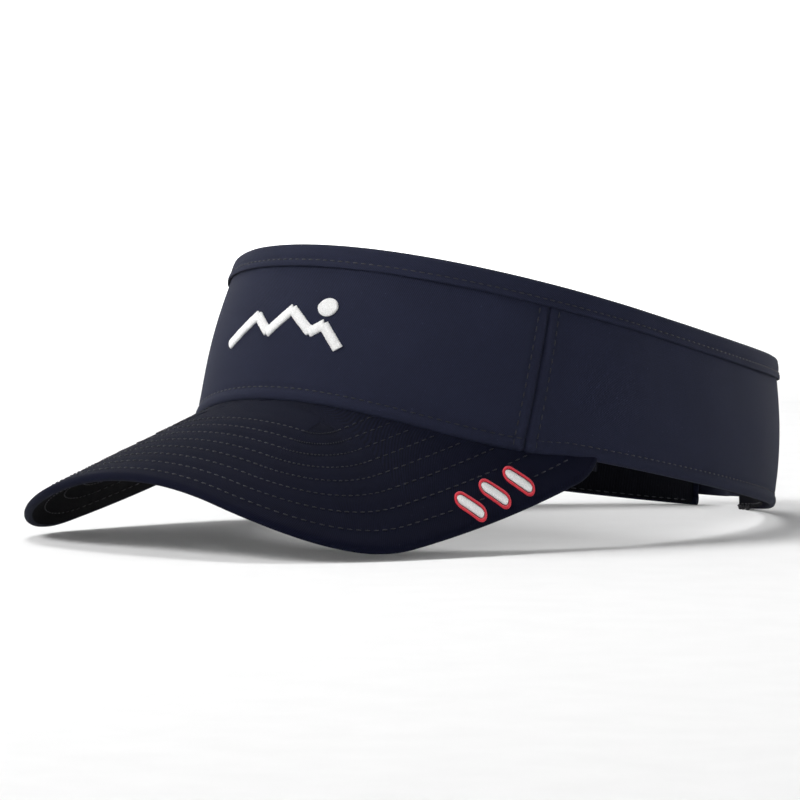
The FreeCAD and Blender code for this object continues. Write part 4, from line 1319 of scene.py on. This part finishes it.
# ----------------------------------------------------------------------------------------------------
# Brim
# ----------------------------------------------------------------------------------------------------
@dataclass
class Brim:
    """The brim's covers round its board, its stitched rows and its mark."""

    bench: Bench
    band: BandShape
    row_count: int = 8
    row_pitch: float = 5.4
    first_row: float = 4.3
    quilting: float = 0.06
    stitch_pitch: float = 2.9
    mark_bar: tuple[float, float] = (4.2, 3.2)
    mark_width: float = 3.0
    mark_border: float = 0.9
    mark_inset: float = 5.4
    mark_setback: float = 23.5
    mark_gap: float = 9.4
    rim_spread: float = 1.0
    under_band: float = 3.2

    @property
    def shape(self) -> BrimShape:
        """The brim's outline and arch."""
        return self.band.brim

    def depth(self, along: Grid) -> tuple[Grid, Grid, Grid]:
        """How the brim runs in from its outline to the band.

        Args:
            along: distances along the outline from the tip.

        Returns:
            The outline, the directions outwards, and the depth to the band.
        """
        points, outward = self.shape.outline(along)
        way = -outward
        height = np.full(np.shape(along), 5.0)
        reach = np.full(np.shape(along), 20.0)
        for _ in range(5):
            half_width = self.band.half_width - self.under_band - self.band.side_lean * height
            front = self.band.front_half - self.under_band - self.band.front_lean * height
            x, y = points[..., 0] / half_width, (points[..., 1] - self.band.widest_y) / front
            dx, dy = way[..., 0] / half_width, way[..., 1] / front
            square, mixed, rest = dx**2 + dy**2, x * dx + y * dy, x**2 + y**2 - 1
            reach = (-mixed - np.sqrt(np.maximum(mixed**2 - square * rest, 0))) / square
            reach = np.maximum(reach, 4.0)
            hit = points + way * reach[..., None]
            height = self.shape.height(hit[..., 0], hit[..., 1])
        return points, outward, reach

    def quilt(self, inset: Grid) -> Grid:
        """How the cover dips at the stitched rows and puffs between them."""
        phase = 2 * math.pi * (inset - self.first_row) / self.row_pitch
        last = self.first_row + self.row_pitch * (self.row_count - 1)
        within = smooth(inset, 1.0, 3.5) * (1 - smooth(inset, last, last + 6))
        return self.quilting * (0.35 - np.cos(phase)) * within

    def make_cover(self, name: str, node: str, finish: Finish, upper: bool) -> None:
        """One cover: the upper one rolls round the rim, the other lies under the board.

        Args:
            name: the piece's name.
            node: the CAD node that it replaces.
            finish: what it is made of.
            upper: whether it is the upper one.
        """
        shape = self.shape
        length = shape.half_length()
        radius = shape.thickness / 2
        roll_share, roll_turn = 0.1, math.pi if upper else 0.0

        def place(a: Grid, b: Grid, through: Grid) -> Grid:
            """Points of the cover.

            Args:
                a: shares along the sheet.
                b: shares across it.
                through: shares through its thickness.

            Returns:
                Points in the band's frame.
            """
            along = (2 * a - 1) * length
            points, outward, reach = self.depth(along)
            flat = np.clip(b / (1 - roll_share), 0, 1) if upper else b
            turn = np.clip((b - 1 + roll_share) / roll_share, 0, 1) * roll_turn
            edge = radius if upper else 0.8
            inset = edge + (reach - edge) * (1 - flat)
            inset = inset - radius * np.sin(turn) if upper else inset
            thickness = (through - 1) * shape.cover
            middle = self.quilt(inset)
            waves = 0.14 * ripple(along, inset * 2, 3.0) * smooth(inset, 2, 10)
            if upper:
                lift = -radius + (radius + thickness) * np.cos(turn) + (middle + waves) * (turn == 0)
                inset = inset - thickness * np.sin(turn)
            else:
                lift = -shape.thickness - thickness - middle * 0.8 + 0.15 * hump(inset - edge, 1.2)
            spread = self.rim_spread * (points[..., 0] / shape.half_width) ** 2
            inset = inset - spread * (1 - smooth(inset, 0, 12))
            return shape.surface(points - outward * inset[..., None], lift)

        mesh = self.bench.sheet((330, 84), (2 * length, 66.0), place, 0.16)
        self.bench.piece(name, mesh, finish, (node,))

    def bars(self) -> list[tuple[Grid, Grid]]:
        """The ends of the mark's slanted bars, in plan."""
        reach = np.array(self.mark_bar) / 2
        middle = np.array([self.shape.half_width - self.mark_inset, self.shape.root_y + self.mark_setback])
        middles = [middle + np.array([0, self.mark_gap]) * index for index in (-1, 0, 1)]
        return [(spot - reach, spot + reach) for spot in middles]

    def make_stitching(self) -> None:
        """The rows of stitches that follow the outline, above and below."""
        shape = self.shape
        length = shape.half_length(rows_only=True)
        clear = self.mark_width / 2 + self.mark_border + 0.6
        stitches: list[Stitch] = []
        for index in range(self.row_count):
            inset = self.first_row + self.row_pitch * index

            def upper(along: Grid, inset: float = inset) -> Grid:
                """A row's track on the upper cover."""
                points, outward = shape.outline(along)
                return shape.surface(points - outward * inset, -self.quilting * 0.65 + 0.12)

            def lower(along: Grid, inset: float = inset) -> Grid:
                """A row's track under the brim."""
                points, outward = shape.outline(along)
                return shape.surface(points - outward * inset, -shape.thickness + self.quilting * 0.5 - 0.1)

            for track, sign in ((upper, 1), (lower, -1)):
                def away(along: Grid, inset: float = inset, sign: int = sign) -> Grid:
                    """The direction away from the cover."""
                    points, outward = shape.outline(along)
                    return sign * shape.upward((points - outward * inset)[..., 0])

                stitches += dashes(track, away, -length, length, self.stitch_pitch, 0.46, 0.36, 0.66)
        kept = []
        for stitch in stitches:
            middle = (stitch.start + stitch.end) / 2
            hidden = bool(self.band.inside(middle, 0.6))
            marked = any(self.distance(middle[:2], *bar) < clear for bar in self.bars())
            if not hidden and not (marked and stitch.outward[2] > 0):
                kept.append(stitch)
        self.bench.piece("brim_row_stitches", self.bench.stitches(kept), Finish.NAVY_THREAD,
                         ("brim_stitching",))

    @staticmethod
    def distance(spot: Grid, start: Grid, end: Grid) -> float:
        """How far a point of the plan is from a bar."""
        way = end - start
        share = float(np.clip((spot - start) @ way / (way @ way), 0, 1))
        return float(np.linalg.norm(spot - start - way * share))

    def make_mark(self) -> None:
        """Three slanted bars of satin stitch, each with a border laid round it."""
        fill: list[Stitch] = []
        border: list[Stitch] = []
        half = self.mark_width / 2

        def laid(start: Grid, end: Grid, width: float, height: float) -> Stitch:
            """One thread laid on the brim."""
            middle = (start + end) / 2
            raised = self.shape.surface(np.array([start, end]), np.array([0.12, 0.12]))
            return Stitch(raised[0], raised[1], self.shape.upward(middle[0]), width, height)

        for start, end in self.bars():
            way = (end - start) / np.linalg.norm(end - start)
            across = np.array([-way[1], way[0]])
            length = float(np.linalg.norm(end - start))
            for run in np.arange(-half + 0.15, length + half - 0.1, 0.28):
                beyond = max(-run, run - length, 0.0)
                reach = math.sqrt(max(half**2 - beyond**2, 0.02))
                centre = start + way * run
                fill.append(laid(centre - across * reach, centre + across * reach, 0.42, 1.1))
            rim = half + self.mark_border / 2
            outline = 2 * length + 2 * math.pi * rim
            for run in np.arange(0, outline, 0.26):
                if run < length:
                    centre, out = start + way * run + across * rim, across
                elif run < length + math.pi * rim:
                    angle = (run - length) / rim
                    out = across * math.cos(angle) + way * math.sin(angle)
                    centre = end + out * rim
                elif run < 2 * length + math.pi * rim:
                    centre, out = end - way * (run - length - math.pi * rim) - across * rim, -across
                else:
                    angle = (run - 2 * length - math.pi * rim) / rim
                    out = -across * math.cos(angle) - way * math.sin(angle)
                    centre = start + out * rim
                reach = self.mark_border / 2
                border.append(laid(centre - out * reach, centre + out * reach, 0.4, 0.85))
        self.bench.piece("brim_mark_satin", self.bench.stitches(fill), Finish.WHITE_SATIN,
                         ("brim_mark_fill",))
        self.bench.piece("brim_mark_border", self.bench.stitches(border), Finish.RED_SATIN,
                         ("brim_mark_outline",))

    def make(self) -> None:
        """Makes the whole brim, and dresses the board inside it."""
        self.make_cover("brim_upper", "brim_top_cover", Finish.BRIM, True)
        self.make_cover("brim_lower", "brim_bottom_cover", Finish.UNDER, False)
        board = frame["nodes"]["brim_board"]
        board.data.materials.clear()
        board.data.materials.append(self.bench.finish_of(Finish.BOARD))
        self.make_stitching()
        self.make_mark()


# ----------------------------------------------------------------------------------------------------
# Closure
# ----------------------------------------------------------------------------------------------------
@dataclass
class Closure:
    """The strap with its tab, and the hook and loop tapes that it closes on."""

    bench: Bench
    band: BandShape
    bottom: float = -0.5
    height: float = 22.0
    thickness: float = 1.0
    inside: float = -1.75
    outside: float = 2.65
    root_angle: float = math.radians(34.0)
    tab_angle: float = math.radians(34.0)
    jog: float = math.radians(6.5)
    hinge: float = math.radians(9.0)
    travel: float = math.radians(7.0)
    corner: float = 5.0
    hook: tuple[float, float] = (2.05, 1.35)
    loop: tuple[float, float] = (0.9, 0.1)

    def strap_offset(self, angle: Grid) -> Grid:
        """The middle of the strap, which steps out from inside the band to lie over it."""
        rise = smooth(-angle, -self.jog, self.jog)
        return self.inside + (self.outside - self.inside) * rise

    def make_strap(self) -> None:
        """The strap from its sewn root to its round-cornered tab."""
        first, last = self.root_angle, -self.tab_angle
        length = self.band.rear_radius * (first - last)

        def place(a: Grid, b: Grid, through: Grid) -> Grid:
            """Points of the strap.

            Args:
                a: shares along the sheet.
                b: shares across it.
                through: shares through its thickness.

            Returns:
                Points in the band's frame.
            """
            angle = first + (last - first) * a
            to_end = self.band.rear_radius * np.abs(angle - last)
            past = np.maximum(self.corner - to_end, 0)
            missing = self.corner - np.sqrt(np.maximum(self.corner**2 - past**2, 0))
            low, high = self.bottom + missing, self.bottom + self.height - missing
            height = low + (high - low) * b
            edge = 0.12 * (hump(b, 0.05) + hump(1 - b, 0.05))
            waves = 0.1 * ripple(angle * 60, height, 4.0)
            offset = self.strap_offset(angle) + (through - 0.5) * (self.thickness + edge) + waves
            return self.band.rear(angle, height, offset)

        mesh = self.bench.sheet((120, 26), (length, self.height), place, 0.25)
        made = self.bench.piece("closure_strap", mesh, Finish.WEBBING, ("strap_root", "strap_tab"), None)
        middle = self.bottom + self.height / 2
        ends = [self.band.rear(np.array(-self.hinge + shift), np.array(middle), np.array(self.outside))
                for shift in (0.035, -0.035)]
        start, end = (self.bench.stance.place(point) for point in ends)
        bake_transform(made)
        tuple(start)
        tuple(end)

    def make_tapes(self) -> None:
        """The hook tape under the tab and the loop tape on the band, each with its pile."""
        start = self.band.gap_angle + 0.03
        tapes = (("hook_strip", "hook_tape", Finish.HOOK, "tab", self.hook, self.tab_angle - 0.04, -1, 0.45,
                  1.2),
                 ("loop_strip", "loop_tape", Finish.LOOP, "crown", self.loop, self.tab_angle + self.travel,
                  1, 0.28, 0.0))
        wobble = random.Random(SEED + 1)
        for name, node, finish, body, (outer, inner), end, sign, pile, inset in tapes:
            low, high = self.bottom + inset, self.bottom + self.height - inset

            def place(a: Grid, b: Grid, through: Grid, end: float = end, outer: float = outer,
                      inner: float = inner, low: float = low, high: float = high, pile: float = pile,
                      sign: int = sign) -> Grid:
                """Points of the tape under its pile.

                Args:
                    a: shares along the sheet.
                    b: shares across it.
                    through: shares through its thickness.
                    end: the angle where it ends.
                    outer: its outer face.
                    inner: its inner face.
                    low: its lower edge.
                    high: its upper edge.
                    pile: how deep the pile is.
                    sign: 1 where the pile faces out, and -1 where it faces in.

                Returns:
                    Points in the band's frame.
                """
                base = outer if sign < 0 else outer - pile
                foot = inner + pile if sign < 0 else inner
                return self.band.rear(-start - (end - start) * a, low + (high - low) * b,
                                      foot + (base - foot) * through)

            mesh = self.bench.sheet((24, 16), (20.0, 22.0), place, 0.08)
            base = inner + pile if sign < 0 else outer - pile
            tufts: list[Stitch] = []
            for across in np.arange(low + 0.5, high - 0.3, 0.62):
                for angle in np.arange(start + 0.015, end - 0.01, 0.0155):
                    at = -(angle + wobble.uniform(-0.003, 0.003))
                    height = across + wobble.uniform(-0.12, 0.12)
                    foot = self.band.rear(np.array(at), np.array(height), np.array(base - sign * 0.1))
                    tip = self.band.rear(np.array(at + 0.004), np.array(height + 0.15),
                                         np.array(base + sign * pile))
                    tufts.append(Stitch(foot, tip, np.array([0.0, 0.0, 1.0]), 0.26, 0.26))
            piled = self.bench.stitches(tufts)
            loose = bpy.data.meshes.new("pile")
            piled.to_mesh(loose)
            piled.free()
            mesh.from_mesh(loose)
            bpy.data.meshes.remove(loose)
            self.bench.piece(name, mesh, finish, (node,), body)

    def frame_of(self, offset: float, low: float, high: float, first: float, last: float) -> list[Stitch]:
        """A rectangle of stitches on the round back.

        Args:
            offset: how far out it lies.
            low: its lower edge.
            high: its upper edge.
            first: the angle where it starts.
            last: the angle where it ends.

        Returns:
            The stitches.
        """
        def away(angle: Grid) -> Grid:
            """Outwards from the round back."""
            return stack(np.sin(angle), np.cos(angle), np.zeros(np.shape(angle)))

        rows: list[Stitch] = []
        pitch = 2.4 / self.band.rear_radius
        for height in (low, high):
            rows += dashes(lambda at, h=height: self.band.rear(at, np.full(np.shape(at), h), offset), away,
                           first, last, pitch)
        for angle in (first, last):
            rows += dashes(lambda h, at=angle: self.band.rear(np.full(np.shape(h), at), h, offset),
                           lambda h, at=angle: away(np.full(np.shape(h), at)), low, high, 2.4)
        return rows

    def make_stitching(self) -> None:
        """The frames of thread round both tapes."""
        edge = 2.5
        turn = edge / self.band.rear_radius
        start = self.band.gap_angle + 0.03
        out = self.outside + self.thickness / 2 + 0.05
        rows = self.frame_of(out, self.bottom + edge, self.bottom + self.height - edge,
                             -self.tab_angle + turn, -start - turn / 2)
        self.bench.piece("strap_stitches", self.bench.stitches(rows), Finish.NAVY_THREAD,
                         ("strap_stitching",), "tab")
        end = self.tab_angle + self.travel
        rows = self.frame_of(self.loop[0] - 0.12, self.bottom + edge / 2,
                             self.bottom + self.height - edge / 2, -end + turn / 2, -start - turn / 4)
        self.bench.piece("loop_strip_stitches", self.bench.stitches(rows), Finish.NAVY_THREAD,
                         ("loop_tape_stitching",))

    def make(self) -> None:
        """Makes the whole closure."""
        self.make_strap()
        self.make_tapes()
        self.make_stitching()


# ----------------------------------------------------------------------------------------------------
# Studio
# ----------------------------------------------------------------------------------------------------
@dataclass(frozen=True)
class Lamp:
    """A soft light: its name, where it stands, its width and its power."""

    name: str
    azimuth: float
    elevation: float
    distance: float
    width: float
    power: float


@dataclass(frozen=True)
class Studio:
    """The pale floor, the soft lights and the camera."""

    azimuth: float = math.radians(45.053)
    elevation: float = math.radians(3.187)
    distance: float = 1.7622
    target: tuple[float, float, float] = (-0.00005, -0.01932, 0.03993)
    lens: float = 262.9
    sweep: float = 2.6
    world: float = 0.03
    glow_near: float = 0.0
    glow_reach: tuple[float, float] = (0.7, 2.4)
    glow_top: tuple[float, float] = (0.6, 1.0)
    lamps: tuple[Lamp, ...] = (
        Lamp("key", -32, 40, 1.8, 0.8, 22.0),
        Lamp("fill", 100, 22, 2.0, 1.4, 0.5),
        Lamp("overhead", 250, 66, 1.9, 0.8, 16.0),
    )

    def spot(self, azimuth: float, elevation: float, distance: float) -> Vector:
        """A place round the target; azimuth 0 is straight ahead of the wearer, in radians."""
        way = Vector((math.sin(azimuth) * math.cos(elevation), -math.cos(azimuth) * math.cos(elevation),
                      math.sin(elevation)))
        return Vector(self.target) + way * distance

    def aim(self, made: bpy.types.Object, azimuth: float, elevation: float, distance: float) -> None:
        """Puts an object round the target and points it there."""
        made.location = self.spot(azimuth, elevation, distance)
        away = made.location - Vector(self.target)
        made.rotation_euler = away.to_track_quat("Z", "Y").to_euler()
        bpy.context.scene.collection.objects.link(made)

    def make_camera(self) -> None:
        """The camera, at eye level with the visor and far back."""
        data = bpy.data.cameras.new("studio_camera")
        data.lens = self.lens
        data.sensor_width = 36.0
        data.clip_end = 50.0
        camera = bpy.data.objects.new("studio_camera", data)
        self.aim(camera, self.azimuth, self.elevation, self.distance)
        bpy.context.scene.camera = camera

    def make_lights(self) -> None:
        """Large soft lamps and an even white surround."""
        for lamp in self.lamps:
            data = bpy.data.lights.new(lamp.name, "AREA")
            data.shape = "DISK"
            data.size = lamp.width
            data.energy = lamp.power
            light = bpy.data.objects.new(lamp.name, data)
            self.aim(light, math.radians(lamp.azimuth), math.radians(lamp.elevation), lamp.distance)
        world = bpy.data.worlds.new("surround")
        world.use_nodes = True
        world.node_tree.nodes["Background"].inputs["Color"].default_value = (1, 1, 1, 1)
        world.node_tree.nodes["Background"].inputs["Strength"].default_value = self.world
        bpy.context.scene.world = world
        bpy.context.scene.view_settings.view_transform = "Standard"

    def make_floor(self) -> None:
        """A round floor whose edge sweeps up into a wall all round, so that no horizon shows."""
        mesh = bmesh.new()
        corner = 0.6
        points = [Vector((0.0, 0, 0)), Vector((0.5, 0, 0)), Vector((self.sweep - corner, 0, 0))]
        points += [Vector((self.sweep - corner + corner * math.sin(turn), 0, corner * (1 - math.cos(turn))))
                   for turn in np.linspace(0.15, QUARTER, 9)]
        points.append(Vector((self.sweep, 0, 2.2)))
        verts = [mesh.verts.new(point) for point in points]
        edges = [mesh.edges.new(pair) for pair in zip(verts, verts[1:])]
        bmesh.ops.spin(mesh, geom=verts + edges, axis=(0, 0, 1), cent=(0, 0, 0), angle=2 * math.pi, steps=96,
                       use_merge=True)
        bmesh.ops.remove_doubles(mesh, verts=mesh.verts, dist=1e-5)
        bmesh.ops.recalc_face_normals(mesh, faces=mesh.faces)
        if max(mesh.faces, key=lambda face: -face.calc_center_median().z).normal.z < 0:
            bmesh.ops.reverse_faces(mesh, faces=mesh.faces)
        for face in mesh.faces:
            face.smooth = True
        data = bpy.data.meshes.new("studio_floor")
        mesh.to_mesh(data)
        mesh.free()
        graph = Graph("studio_paper")
        place = graph.node("ShaderNodeTexCoord", {}, {}).outputs["Object"]
        grain = graph.noise(place, 60.0)
        colour = graph.mix(grain.step(0.3, 0.7), (0.86, 0.86, 0.86, 1), (0.88, 0.88, 0.88, 1))
        distance = graph.node("ShaderNodeVectorMath", {"operation": "LENGTH"}, {"Vector": place})
        parts = graph.node("ShaderNodeSeparateXYZ", {}, {"Vector": place})
        high = Wire(graph, parts.outputs[2]).step(*self.glow_top)
        glow = Wire(graph, distance.outputs["Value"]).step(*self.glow_reach) * (1.0 - high)
        shine = graph.mix(glow, (self.glow_near,) * 3 + (1,), (1, 1, 1, 1))
        constants = {"Specular IOR Level": 0.1, "Emission Color": shine, "Emission Strength": 1.0}
        data.materials.append(graph.finish(colour, 0.9, grain, 0.00002, constants))
        floor = bpy.data.objects.new("studio_floor", data)
        bpy.context.scene.collection.objects.link(floor)

    def make(self) -> None:
        """Makes the whole studio."""
        self.make_camera()
        self.make_lights()
        self.make_floor()


def main() -> None:
    """Builds the visor and its studio."""
    logging.basicConfig(level=logging.INFO, format="%(name)s %(message)s")
    band = BandShape()
    stance = Stance.from_frame(band.rear_y)
    bench = Bench(stance)
    Studio().make()
    Crown(bench, band).make()
    Brim(bench, band).make()
    Closure(bench, band).make()
    bpy.data.meshes.remove(bench.bead)


if __name__ == "__main__":
    main()
